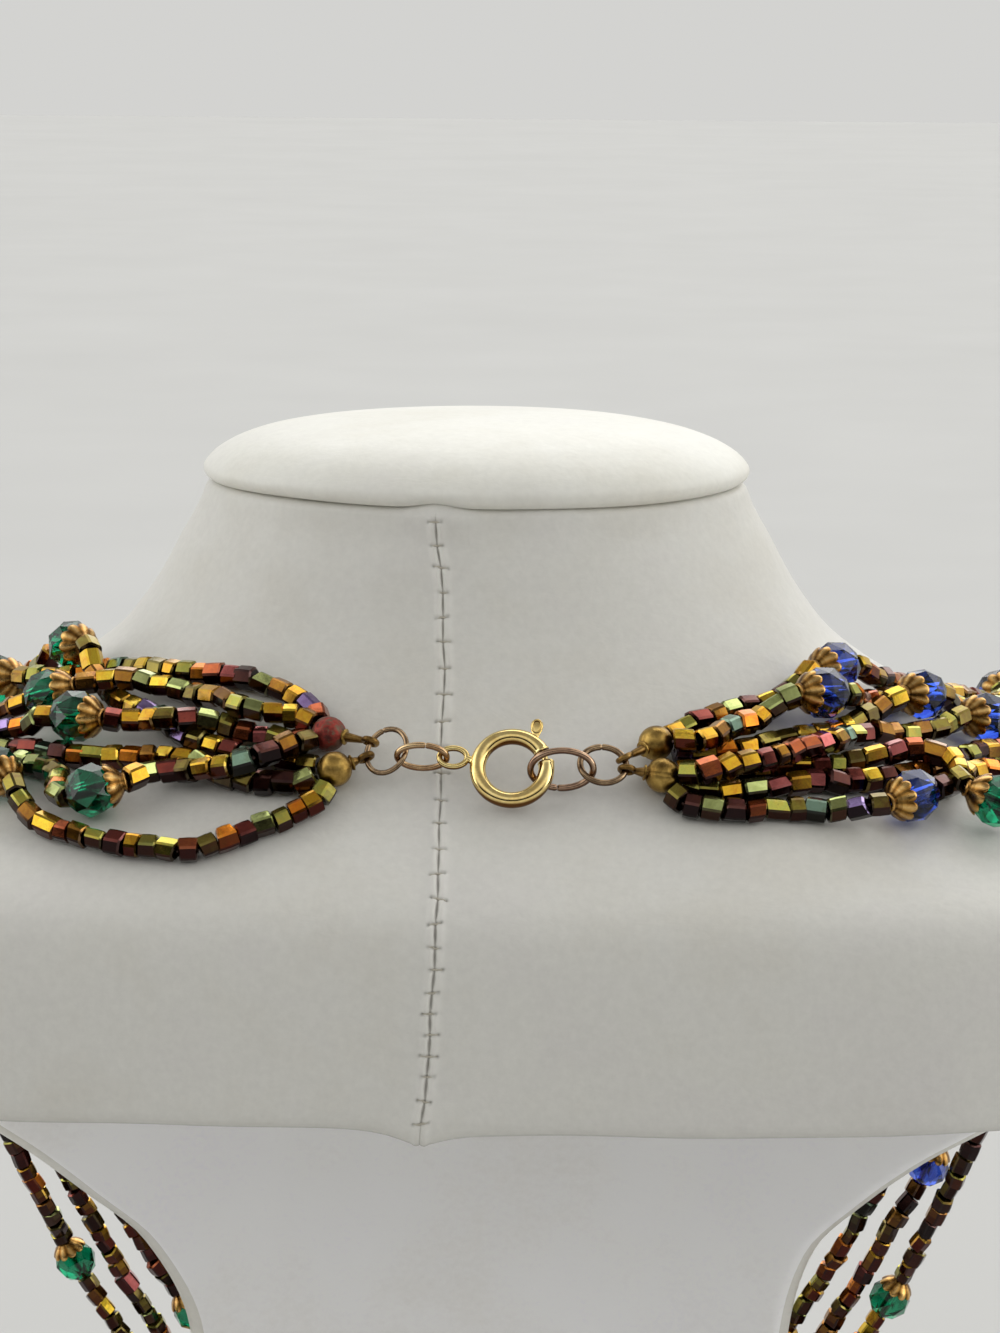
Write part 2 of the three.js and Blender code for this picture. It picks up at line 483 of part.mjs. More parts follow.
// ---------------------------------------------------------------- pieces
const root = new THREE.Group();
root.name = "necklace";
function piece(name, geometry, colour, roughness, metalness) {
  const mesh = new THREE.Mesh(geometry, new THREE.MeshStandardMaterial({ color: colour, roughness, metalness }));
  mesh.name = name;
  root.add(mesh);
}
const lifted = (g) => g.translate(0, 0, SEAM_Z);

// Bust: shell open below, with the front carried on down as a panel to the foot.
function bustBody() {
  const outer = [], inner = [];
  for (const h of [TOP_H, TOP_H - 0.9, -8, -16, -22.5, -28, -33, -38, -42, -46, -51, RIM_H])
    outer.push(Array.from({ length: SEGS }, (_, k) => skin((360 * k) / SEGS, h, h === TOP_H ? 1.1 : 0)));
  for (const h of [RIM_H - 0.5, -50, -43, -36, -28, -18, TOP_H - ROOF])
    inner.push(Array.from({ length: SEGS }, (_, k) => { const p = skin((360 * k) / SEGS, h, WALL); return h < -20 && h > -50 ? [p[0], p[1], h - 2.5] : p; }));
  const shell = solidOf(loftOut(outer)).subtract(solidOf(loftOut(inner)));
  const rows = [];
  const hs = [-62, -72, -84, -97, -107, -113, -121, -130, -145, -175, -205, -(SEAM_Z - FOOT_T - GAP)];
  for (const h of hs) {
    const [ax, , , , nf] = rowAt(LEVELS, h), loop = [];
    const [left, right] = rowAt(PANEL, h).map((w) => (180 / Math.PI) * Math.asin(Math.pow(Math.min(w, ax - 0.4) / ax, nf / 2)));
    const phi = (k) => 180 - right + ((left + right) * k) / FRONT_COLS;
    for (let k = 0; k <= FRONT_COLS; k++) loop.push(skin(phi(k), h, 0.02));
    for (let k = FRONT_COLS; k >= 0; k--) loop.push(skin(phi(k), h, WALL));
    rows.push(loop);
  }
  // end faces of the panel are strips, since its section is a thin arc
  const n = rows[0].length, verts = rows.flat();
  const build = (flip) => {
    const faces = [];
    const put = (a, b, c) => faces.push(flip ? [a, c, b] : [a, b, c]);
    for (let r = 0; r + 1 < rows.length; r++)
      for (let i = 0; i < n; i++) {
        const a = r * n + i, b = r * n + ((i + 1) % n);
        put(a, b, b + n); put(a, b + n, a + n);
      }
    for (const [r, up] of [[0, true], [rows.length - 1, false]])
      for (let k = 0; k < FRONT_COLS; k++) {
        const a = r * n + k, b = a + 1, d = r * n + (n - 1 - k), c = d - 1;
        if (up) { put(a, c, b); put(a, d, c); } else { put(a, b, c); put(a, c, d); }
      }
    return geometryOf(verts, faces);
  };
  let g = build(false);
  if (solidOf(g).volume() < 0) g = build(true);
  return geometryFrom(shell.add(solidOf(g)));
}
piece("bust_body", lifted(bustBody()), 0xeeece6, 0.55, 0);
piece("bust_cap", lifted(loftOut(CAP.map(([z, k]) => Array.from({ length: SEGS }, (_, i) => {
  const p = skin((360 * i) / SEGS, 0);
  return [p[0] * k, p[1] * k, z];
})))), 0xf2f1ea, 0.5, 0);
const footRow = (z, grow) => Array.from({ length: 32 }, (_, i) => {
  const q = (2 * Math.PI * (i + 0.5)) / 32, s = Math.sin(q), c = Math.cos(q);
  return [(FOOT_W + grow) * sgn(s) * Math.abs(s) ** 0.5, FOOT_Y - (FOOT_D + grow) * sgn(c) * Math.abs(c) ** 0.5, z];
});
piece("bust_foot", loftOut([footRow(0, -1), footRow(1, 0), footRow(FOOT_T - 1, 0), footRow(FOOT_T, -1)]), 0xeeece6, 0.55, 0);

// Knot covers with their loops.
function tip([bp, bh, bl, lp, lh, ll]) {
  const b = onSkin(bp, bh, bl), l = onSkin(lp, lh, ll), d = unit(sub(l, b));
  const n = unit(sub([0, 0.588, 0.809], d.map((v) => v * dot([0, 0.588, 0.809], d)))); // the loop lies across the ring it holds
  const f = { n, e1: d, e2: cross(n, d) };
  const R = 0.85, wire = 0.3;
  const ballLoops = [];
  const u = unit(cross(d, [0, 0, 1])), w = cross(d, u);
  for (let k = 1; k < 7; k++) {
    const q = (Math.PI * k) / 7;
    ballLoops.push(Array.from({ length: 10 }, (_, i) => add(add(add(b, d, -BALL_R * Math.cos(q)), u, BALL_R * Math.sin(q) * Math.cos((2 * Math.PI * i) / 10)), w, BALL_R * Math.sin(q) * Math.sin((2 * Math.PI * i) / 10))));
  }
  const ball = solidOf(loftOut(ballLoops));
  const reach = len(sub(l, b)) - R;
  const stem = solidOf(tube([add(b, d, BALL_R - 0.5), add(b, d, reach + 0.1)], [0.75, 0.36], 6));
  const loop = solidOf(around(l, f, R, R, disc(wire, 6), 0, 360, 12));
  return geometryFrom(ball.add(stem).add(loop));
}
piece("tip_lu", lifted(tip(TIPS.tip_lu)), 0x6e3a2a, 0.6, 0.7);
piece("tip_ll", lifted(tip(TIPS.tip_ll)), 0x8a6d35, 0.5, 0.9);
piece("tip_ru", lifted(tip(TIPS.tip_ru)), 0x8f7138, 0.5, 0.9);
piece("tip_rl", lifted(tip(TIPS.tip_rl)), 0x8f7138, 0.5, 0.9);

for (const [name, [phi, h, lift, a, b, wire, up, turn]] of Object.entries(RINGS))
  piece(name, lifted(around(onSkin(phi, h, lift), ringFrame(up, turn), a, b, disc(wire, 6), 0, 360, 18)), name.startsWith("jump") ? 0x7a6048 : 0xa07c5c, 0.4, 0.95);

// Spring ring: a tube open between 12 and 35 degrees, with a sleeve for the sliding wire.
const C = onSkin(CLASP.phi, CLASP.h, CLASP.lift), CF = ringFrame(CLASP.up, 0);
const ringSolid = () => {
  const arc = (profile, from, to, steps) => solidOf(around(C, CF, RING_R, RING_R, profile, from, to, steps));
  let s = arc(disc(RING_TUBE, 8), 35, 372, 25);
  s = s.subtract(arc(disc(0.66, 8), 33, 96, 9)).subtract(arc(disc(0.66, 8), 2, 14, 2));
  s = s.subtract(arc(box(0.1, 1.4, 0.42), 43, 89.5, 6)); // slot for the thumb tab
  // small eye fixed to the ring's left side
  const eye = add(add(C, CF.e1, -(RING_R + RING_TUBE + 2.05)), CF.e2, 1.3);
  const eyeRing = solidOf(around(eye, CF, 1.65, 1.2, disc(0.34, 6), 0, 360, 14));
  const neck = solidOf(tube([add(eye, CF.e1, 1.55), add(add(C, CF.e1, -(RING_R + 0.45)), CF.e2, 0.8)], [0.42, 0.55], 6));
  return s.add(eyeRing).add(neck);
};
piece("clasp_ring", lifted(geometryFrom(ringSolid())), 0xc9962e, 0.25, 1);
const gate = () => {
  const wire = solidOf(around(C, CF, RING_R, RING_R, disc(0.4, 6), 5.5, 62, 8));
  const at = (deg, r) => add(add(C, CF.e1, r * Math.cos(rad(deg))), CF.e2, r * Math.sin(rad(deg)));
  const a = at(52, RING_R), b = at(55.5, RING_R + 1.1), c = at(61.5, RING_R + 2.6);
  const bar = (p, q, w0, w1) => {
    const d = unit(sub(q, p)), side = cross(CF.n, d);
    const loop = (o, w) => [[-w, -0.24], [w, -0.24], [w, 0.24], [-w, 0.24]].map(([x, n]) => add(add(o, side, x), CF.n, n));
    return solidOf(loftOut([loop(p, w0), loop(q, w1)]));
  };
  return geometryFrom(wire.add(bar(a, b, 0.3, 0.36)).add(bar(add(b, sub(a, b), 0.15), c, 0.38, 0.62)));
};
piece("clasp_gate", lifted(gate()), 0xc9962e, 0.25, 1);

// Fewest points that stay within tol of a stretch of the route.
function thin(points, from, to, tol, keep) {
  let worst = 0, at = -1;
  const a = points[from], b = points[to], d = unit(sub(b, a));
  for (let i = from + 1; i < to; i++) {
    const v = sub(points[i], a), off = len(add(v, d, -dot(v, d)));
    if (off > worst) { worst = off; at = i; }
  }
  if (at >= 0 && (worst > tol || to - from > 14)) {
    if (worst <= tol) at = Math.round((from + to) / 2);
    thin(points, from, at, tol, keep);
    thin(points, at, to, tol, keep);
  } else keep.push(to);
}
const GREEN = 0x0f7a4a, BLUE = 0x1c2f9c, SEED = 0x6b5a22;
// Glass beads nearest the clasp are pieces of their own.
const order = strands.flatMap((st, k) => st.glass.map((g, j) => ({ g, st, k, near: Math.min(j, st.glass.length - 1 - j), j })))
  .sort((p, q) => p.near - q.near || p.k - q.k || p.j - q.j);
order.forEach((o, i) => { o.g.own = i < OWN_GLASS; });
for (const st of strands) {
  const n = st.at.length - 1;
  // stations: thinned route, with exact rings at each glass bead
  const ranges = st.glass.map((g) => ({ g, lo: g.lo, hi: g.hi }));
  const pts = [], radii = [], along = [];
  const push = (p, r, t) => { pts.push(p); radii.push(r); along.push(t); };
  // bare thread from just off the knot cover to the first seed
  const knot = (tip, p) => { const b = onSkin(...TIPS[tip].slice(0, 3)); return add(b, unit(sub(p, b)), BALL_R + GAP + 0.05); };
  push(knot(st.leftTip, st.at[0]), THREAD_R);
  push(st.at[0], THREAD_R);
  let from = 0;
  const stretch = (a, b) => {
    const keep = [];
    thin(st.at, a, b, 0.32, keep);
    keep.forEach((i) => push(st.at[i], i === n ? THREAD_R : SEED_R));
  };
  push(add(st.at[0], unit(sub(st.at[1], st.at[0])), 0.6), SEED_R);
  for (const { g, lo, hi } of ranges) {
    stretch(from, lo);
    const dir = g.side > 0 ? g.dir : g.dir.map((v) => -v); // along the points
    const rings = g.own
      ? [[-4.45, SEED_R], [-4.3, THREAD_R], [3.4, THREAD_R], [3.55, SEED_R]]
      : [[-4.3, SEED_R], ...GLASS.slice(1, -1), [3.3, SEED_R]];
    const ordered = g.side > 0 ? rings : rings.map(([d, r]) => [-d, r]).reverse();
    for (const [d, r] of ordered) push(add(g.at, dir, d), r, dir);
    from = hi;
    push(st.at[hi], SEED_R);
  }
  stretch(from, n);
  // the last ring narrows into the knot cover
  pts.splice(pts.length - 1, 0, add(st.at[n], unit(sub(st.at[n - 1], st.at[n])), 0.6));
  radii.splice(radii.length - 1, 0, SEED_R);
  along.splice(along.length - 1, 0, undefined);
  push(knot(st.rightTip, st.at[n]), THREAD_R);
  piece(st.name, lifted(tube(pts, radii, STRAND_SIDES, along)), SEED, 0.35, 0.6);
  st.glass.forEach((g, j) => {
    if (!g.own) return;
    const profile = [[-3.95, BORE_R], ...GLASS.slice(1, -1), [3.1, BORE_R]];
    const name = "glass_" + st.name.slice(-1) + "_" + String(j + 1).padStart(2, "0");
    const blue = g.side < 0 && st.name !== "strand_7";
    piece(name, lifted(turned(g.at, g.dir, profile, 7)), blue ? BLUE : GREEN, 0.08, 0);
  });
}
export { strands, SEAM_Z, C, CF };
export default root;
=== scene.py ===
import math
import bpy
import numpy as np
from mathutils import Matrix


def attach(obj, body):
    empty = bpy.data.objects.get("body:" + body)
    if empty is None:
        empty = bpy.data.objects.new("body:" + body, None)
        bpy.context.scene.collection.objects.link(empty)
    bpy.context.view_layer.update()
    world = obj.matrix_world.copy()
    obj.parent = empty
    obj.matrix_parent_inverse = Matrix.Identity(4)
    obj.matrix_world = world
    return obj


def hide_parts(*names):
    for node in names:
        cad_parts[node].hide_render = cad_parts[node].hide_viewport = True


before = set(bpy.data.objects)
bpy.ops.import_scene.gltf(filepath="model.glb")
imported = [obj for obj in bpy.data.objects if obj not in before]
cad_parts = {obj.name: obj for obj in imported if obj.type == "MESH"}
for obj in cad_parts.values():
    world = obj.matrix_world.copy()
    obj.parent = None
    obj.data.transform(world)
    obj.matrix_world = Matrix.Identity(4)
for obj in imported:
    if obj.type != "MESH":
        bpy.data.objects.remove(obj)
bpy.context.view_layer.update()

# Looks of the layered beaded necklace on its neck bust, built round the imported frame.
#
# Lengths are in millimetres with the cap's seam at level 0 until a mesh is made; put() turns
# them into metres in the row frame. Every random choice comes from one seeded generator.
BUST, LEVER = "necklace_on_bust", "clasp_lever"
rng = np.random.default_rng(11)

# ---------------------------------------------------------------- sizes, as in the CAD model
SEAM_Z, FOOT_T, FOOT_W, FOOT_D, FOOT_Y = 240.0, 6.0, 66.0, 60.0, 9.0
GAP, WALL, TOP_H, ROOF, RIM_H = 0.3, 4.5, -1.1, 4.0, -69.5
SEED_R, THREAD_R, GLASS_R, GLASS_PITCH, CLEAR, STEP = 1.15, 0.3, 3.25, 58.0, 0.68, 1.5
BALL_R, RING_R, RING_TUBE = 2.15, 4.1, 0.9
LEVELS = [
    (0.0, 36.4, 29.5, 29.0, 2.0, 2.0), (-5.5, 37.9, 30.4, 30.0, 2.0, 2.0), (-11.0, 40.4, 32.4, 31.5, 2.05, 2.0),
    (-16.5, 43.8, 35.3, 34.0, 2.1, 2.0), (-22.0, 48.6, 39.2, 37.0, 2.2, 2.1), (-28.0, 57.5, 45.0, 41.0, 2.4, 2.1),
    (-33.5, 69.0, 52.0, 45.0, 2.8, 2.2), (-39.0, 82.0, 59.5, 49.5, 3.3, 2.3), (-43.5, 91.5, 64.6, 53.0, 3.9, 2.3),
    (-48.0, 96.0, 66.4, 56.0, 4.0, 2.4), (-56.0, 98.0, 66.8, 60.0, 4.0, 2.4), (-70.5, 98.0, 66.2, 64.5, 4.0, 2.4),
]
PANEL = [  # level, half widths to the left and right
    (-62, 97.5, 97.5), (-72, 97.5, 97.5), (-84, 95.5, 95.5), (-97, 88.5, 87.5), (-107, 78.8, 76.3), (-113, 72.5, 69),
    (-121, 64.5, 60.5), (-130, 55.5, 52.5), (-145, 48.5, 48.5), (-175, 47.5, 47.5), (-205, 51, 51), (-233.7, 57, 57),
]
CAP = [(-0.8, 0.965), (-0.2, 0.985), (0.7, 0.992), (2.0, 0.97), (3.5, 0.915), (5.0, 0.82), (6.2, 0.68), (7.0, 0.48), (7.4, 0.2)]
LEFT = {
    "D": [[-11.7, -30.3, 1.4], [-14.8, -30.0, 1.4], [-20.0, -29.3, 1.4], [-24.9, -29.1, 1.4], [-29.4, -28.7, 1.4], [-35.2, -27.5, 1.4], [-40.7, -26.8, 1.4], [-46.5, -26.6, 1.4], [-54.4, -25.6, 1.4], [-64.7, -24.7, 1.6], [-68.2, -25.2, 3.6, 1]],
    "A": [[-17.6, -25.3, 1.6], [-21.7, -23.7, 1.6], [-26.7, -23.0, 1.6], [-32.1, -22.3, 1.7], [-39.2, -22.7, 1.7], [-46.0, -22.9, 1.8], [-54.0, -23.3, 2.2], [-60.1, -24.6, 3.0], [-66.1, -26.2, 3.6], [-72.7, -27.4, 3.4], [-79.5, -29.5, 3.6, 1]],
    "B": [[-17.7, -26.6, 1.8], [-20.8, -27.2, 2.8], [-24.5, -27.1, 3.2], [-31.8, -25.2, 1.8], [-35.5, -25.2, 1.7], [-42.0, -24.7, 1.8], [-47.9, -25.3, 2.6], [-52.3, -26.7, 3.4], [-56.8, -28.9, 3.8, 1], [-63.3, -30.3, 2.4]],
    "C": [[-15.3, -28.2, 1.5], [-20.4, -27.9, 1.5], [-24.1, -27.7, 1.5], [-26.7, -27.5, 2.0], [-29.6, -27.8, 2.8], [-30.4, -29.2, 3.4], [-34.9, -29.0, 3.2], [-37.6, -29.5, 2.4], [-40.3, -30.1, 3.2], [-43.8, -30.7, 3.7, 1], [-50.4, -31.2, 2.8], [-54.8, -31.8, 2.2]],
    "G": [[-10.3, -31.9, 1.5], [-12.6, -32.1, 1.4], [-14.6, -32.2, 1.4], [-16.0, -32.5, 1.4], [-19.2, -32.0, 1.4], [-23.8, -30.7, 1.4], [-28.1, -30.5, 1.4], [-31.5, -30.8, 1.4], [-35.8, -31.0, 1.4], [-39.7, -31.4, 1.4], [-47.0, -31.4, 1.5], [-52.2, -31.9, 1.4]],
    "E": [[-12.9, -29.7, 3.0], [-14.0, -30.4, 3.8], [-14.7, -31.6, 3.9], [-16.5, -32.1, 3.9], [-17.5, -32.6, 3.6], [-20.5, -32.3, 2.6], [-24.9, -31.9, 1.8], [-26.9, -32.8, 1.8], [-26.9, -33.8, 2.8], [-27.4, -35.2, 3.7, 1], [-29.0, -35.7, 3.4], [-34.1, -34.2, 2.2], [-40.1, -32.9, 1.6], [-49.4, -32.8, 1.5]],
    "F": [[-7.4, -33.4, 1.5], [-8.0, -34.6, 1.5], [-9.1, -35.9, 1.5], [-10.3, -36.6, 1.5], [-11.0, -37.9, 1.5], [-12.5, -38.7, 1.5], [-15.8, -38.2, 1.5], [-19.4, -38.3, 1.5], [-23.6, -37.8, 1.5], [-29.1, -37.3, 1.5], [-33.2, -36.6, 2.0], [-38.5, -35.6, 3.3], [-43.7, -34.7, 3.6, 1], [-48.5, -34.6, 3.2], [-56.6, -35.4, 2.0], [-66.0, -36.9, 1.6]],
}
RIGHT = {
    "J": [[23.7, -27.2, 1.5], [29.1, -26.2, 1.5], [35.3, -25.6, 1.7], [41.4, -26.0, 2.6], [45.2, -26.1, 3.4], [51.1, -25.5, 4.2], [56.6, -25.6, 4.2, 1], [65.8, -26.3, 2.6], [76.4, -27.3, 1.6]],
    "K": [[20.9, -29.5, 2.8], [21.3, -30.1, 2.9], [25.3, -29.3, 3.0], [30.1, -28.0, 2.6], [34.2, -27.6, 2.2], [39.3, -26.6, 1.8], [44.2, -26.2, 1.5], [46.7, -27.1, 3.4, 1], [57.4, -26.7, 1.5], [67.0, -27.3, 1.5], [82.4, -29.2, 1.5]],
    "L": [[20.8, -29.3, 1.4], [23.5, -29.5, 1.4], [28.0, -29.2, 1.4], [33.3, -28.9, 1.4], [38.2, -28.4, 1.5], [42.1, -28.4, 2.2], [49.1, -27.9, 2.6], [55.5, -27.6, 2.6], [61.9, -27.9, 3.0], [67.8, -29.0, 3.8, 1]],
    "M": [[17.3, -32.2, 2.4], [20.2, -32.2, 3.0], [22.8, -32.0, 3.4], [25.6, -31.7, 3.6], [28.4, -31.8, 3.4], [33.4, -31.0, 3.2], [36.7, -31.0, 3.0], [43.2, -30.1, 2.6], [50.8, -29.7, 2.2], [56.5, -30.1, 2.0], [63.3, -30.4, 2.4], [71.9, -30.7, 3.2], [76.0, -31.6, 4.0, 1]],
    "Q": [[18.5, -31.4, 1.5], [20.3, -32.6, 1.4], [22.0, -32.8, 1.4], [26.9, -32.5, 1.4], [32.3, -32.1, 1.4], [39.8, -32.7, 1.4], [45.3, -32.7, 1.4], [51.5, -32.9, 1.4], [60.0, -32.8, 1.4], [69.8, -33.1, 1.5]],
    "P": [[15.0, -33.2, 1.5], [15.9, -33.9, 1.5], [18.4, -34.2, 1.5], [22.3, -34.3, 1.5], [26.6, -34.4, 1.5], [29.7, -35.0, 1.5], [33.3, -35.4, 2.2], [36.1, -35.5, 3.2], [39.5, -35.5, 3.6, 1], [51.4, -34.2, 1.5], [61.6, -33.8, 1.8]],
    "N": [[17.6, -31.0, 1.5], [20.5, -31.0, 1.5], [24.5, -31.0, 1.5], [29.5, -31.0, 1.4], [34.2, -31.0, 1.4], [39.7, -31.6, 1.6], [43.4, -31.7, 2.0], [48.9, -32.0, 2.6], [53.0, -32.9, 2.6], [50.9, -34.3, 2.8], [47.7, -35.7, 3.4], [48.1, -37.0, 3.6, 1], [50.0, -37.7, 3.4], [57.4, -37.6, 2.2], [69.1, -37.6, 1.6]],
}
STRANDS = [
    ("strand_1", "D", "J", "tip_ll", "tip_ru", 63.5, -146), ("strand_2", "A", "K", "tip_lu", "tip_ru", 67.5, -154),
    ("strand_3", "B", "L", "tip_lu", "tip_ru", 71.5, -162), ("strand_4", "C", "M", "tip_lu", "tip_rl", 75.5, -170),
    ("strand_5", "G", "Q", "tip_ll", "tip_rl", 79.5, -178), ("strand_6", "E", "P", "tip_lu", "tip_rl", 83.5, -186),
    ("strand_7", "F", "N", "tip_ll", "tip_rl", 87.5, -194),
]
TIPS = {
    "tip_lu": (-12.17, -27.8, 2.5, -7.02, -28.64, 2.96), "tip_ll": (-8.28, -31.21, 2.5, -6.53, -29.97, 2.46),
    "tip_ru": (19.14, -28.59, 2.5, 13.46, -30.29, 3.23), "tip_rl": (15.88, -31.61, 2.5, 12.64, -31.25, 2.99),
}
RINGS = {
    "jump_left": (-4.87, -29.66, 3.19, 2.5, 2.94, 0.32, 38.5, -21.44), "oval_left": (-1.83, -30.36, 3.63, 2.98, 1.74, 0.35, -25.18, -2.45),
    "link_right_1": (6.67, -31.31, 3.34, 3.75, 2.5, 0.34, -14.05, 3.77), "link_right_2": (10.73, -30.88, 3.2, 2.77, 2.58, 0.33, 47.15, 9.65),
}
CLASP = (2.91, -31.23, 3.35, 36)


# ---------------------------------------------------------------- the bust's skin
class Table:
    """Rows of a table, smooth through every row."""

    def __init__(self, rows):
        rows = np.array(rows, float)
        n = len(rows)
        self.t, self.v = rows[:, 0], rows[:, 1:]
        a, b = np.maximum(np.arange(n) - 1, 0), np.minimum(np.arange(n) + 1, n - 1)
        self.m = (self.v[b] - self.v[a]) / (self.t[b] - self.t[a])[:, None]

    def at(self, h):
        h = np.clip(np.asarray(h, float), self.t[-1], self.t[0])
        i = np.clip(np.searchsorted(-self.t[1:], -h, side="left"), 0, len(self.t) - 2)
        d = self.t[i + 1] - self.t[i]
        u = ((h - self.t[i]) / d)[..., None]
        d = d[..., None]
        u2, u3 = u * u, u * u * u
        return (
            (2 * u3 - 3 * u2 + 1) * self.v[i] + (u3 - 2 * u2 + u) * d * self.m[i]
            + (-2 * u3 + 3 * u2) * self.v[i + 1] + (u3 - u2) * d * self.m[i + 1]
        )


SKIN, SIDE = Table(LEVELS), Table(PANEL)
E = 0.4


def skin(phi, h, inset=0.0):
    phi, h = np.broadcast_arrays(np.asarray(phi, float), np.asarray(h, float))
    r = SKIN.at(h)
    side, back, front, nb, nf = (r[..., k] for k in range(5))
    c, s = np.cos(np.radians(phi)), np.sin(np.radians(phi))
    n = np.where(c >= 0, nb, nf)
    depth = np.where(c >= 0, back, front) - inset
    x = (side - inset) * np.where(s < 0, -1, 1) * np.abs(s) ** (2 / n)
    y = -depth * np.where(c < 0, -1, 1) * np.abs(c) ** (2 / n)
    return np.stack([x, y, h], -1)


def unit(v):
    v = np.asarray(v, float)
    return v / np.maximum(np.linalg.norm(v, axis=-1, keepdims=True), 1e-12)


def frame_at(phi, h):
    dp = (skin(phi + E, h) - skin(phi - E, h)) / (2 * E)
    dh = (skin(phi, h + E) - skin(phi, h - E)) / (2 * E)
    return skin(phi, h), dp, dh, unit(np.cross(dp, dh))


def on_skin(phi, h, lift):
    p, _, _, n = frame_at(np.float64(phi), np.float64(h))
    return p + n * lift


# ---------------------------------------------------------------- the strands' routes
def chain_size(w, drop):
    lo, hi = 4.0, 4000.0
    for _ in range(80):
        a = (lo + hi) / 2
        if a * (math.cosh(min(w / a, 700)) - 1) > drop:
            lo = a
        else:
            hi = a
    return (lo + hi) / 2


DRAPE_TOP, DRAPE_ROWS = -47, 9


def drape_rows(side, shoulder, bottom):
    lo, hi = -48.0, -20.0
    for _ in range(60):
        m = (lo + hi) / 2
        if SKIN.at(m)[0] > shoulder:
            lo = m
        else:
            hi = m
    rows = [[side * 90, lo, 1.6]]
    w = shoulder * 1.04
    a = chain_size(w, DRAPE_TOP - bottom)
    for k in range(DRAPE_ROWS):
        u = 1 - k / DRAPE_ROWS
        x = a * math.asinh(u * math.sinh(w / a))
        h = bottom + a * (math.cosh(x / a) - 1)
        r = SKIN.at(h)
        rows.append([side * (180 - math.degrees(math.asin((x / r[0]) ** (r[4] / 2)))), h, 1.6])
    return rows


def through(rows):
    knots = [on_skin(r[0], r[1], r[2]) for r in rows]
    s = [0.0]
    for i in range(1, len(rows)):
        s.append(s[-1] + float(np.linalg.norm(knots[i] - knots[i - 1])))
    q = np.array([r[:3] for r in rows], float)

    def slope(j):
        a, b = max(0, j - 1), min(len(rows) - 1, j + 1)
        return (q[b] - q[a]) / (s[b] - s[a])

    out, marks = [], []
    for i in range(len(rows) - 1):
        d = s[i + 1] - s[i]
        n = max(1, math.floor(d / STEP + 0.5))
        if len(rows[i]) > 3:
            marks.append(len(out))
        for k in range(n):
            t = k / n
            t2, t3 = t * t, t * t * t
            out.append(
                (2 * t3 - 3 * t2 + 1) * q[i] + (t3 - 2 * t2 + t) * d * slope(i)
                + (-2 * t3 + 3 * t2) * q[i + 1] + (t3 - t2) * d * slope(i + 1)
            )
    out.append(q[-1])
    return np.array(out), marks


GLASS = np.array([[-3.95, 1.5], [-3.7, 2.15], [-1.4, GLASS_R], [1.3, GLASS_R], [3.0, 2.2], [3.1, 1.5]])


def glass_radius(d):
    r = np.interp(d, GLASS[:, 0], GLASS[:, 1])
    return np.where((d <= GLASS[0, 0]) | (d >= GLASS[-1, 0]), 0, r)


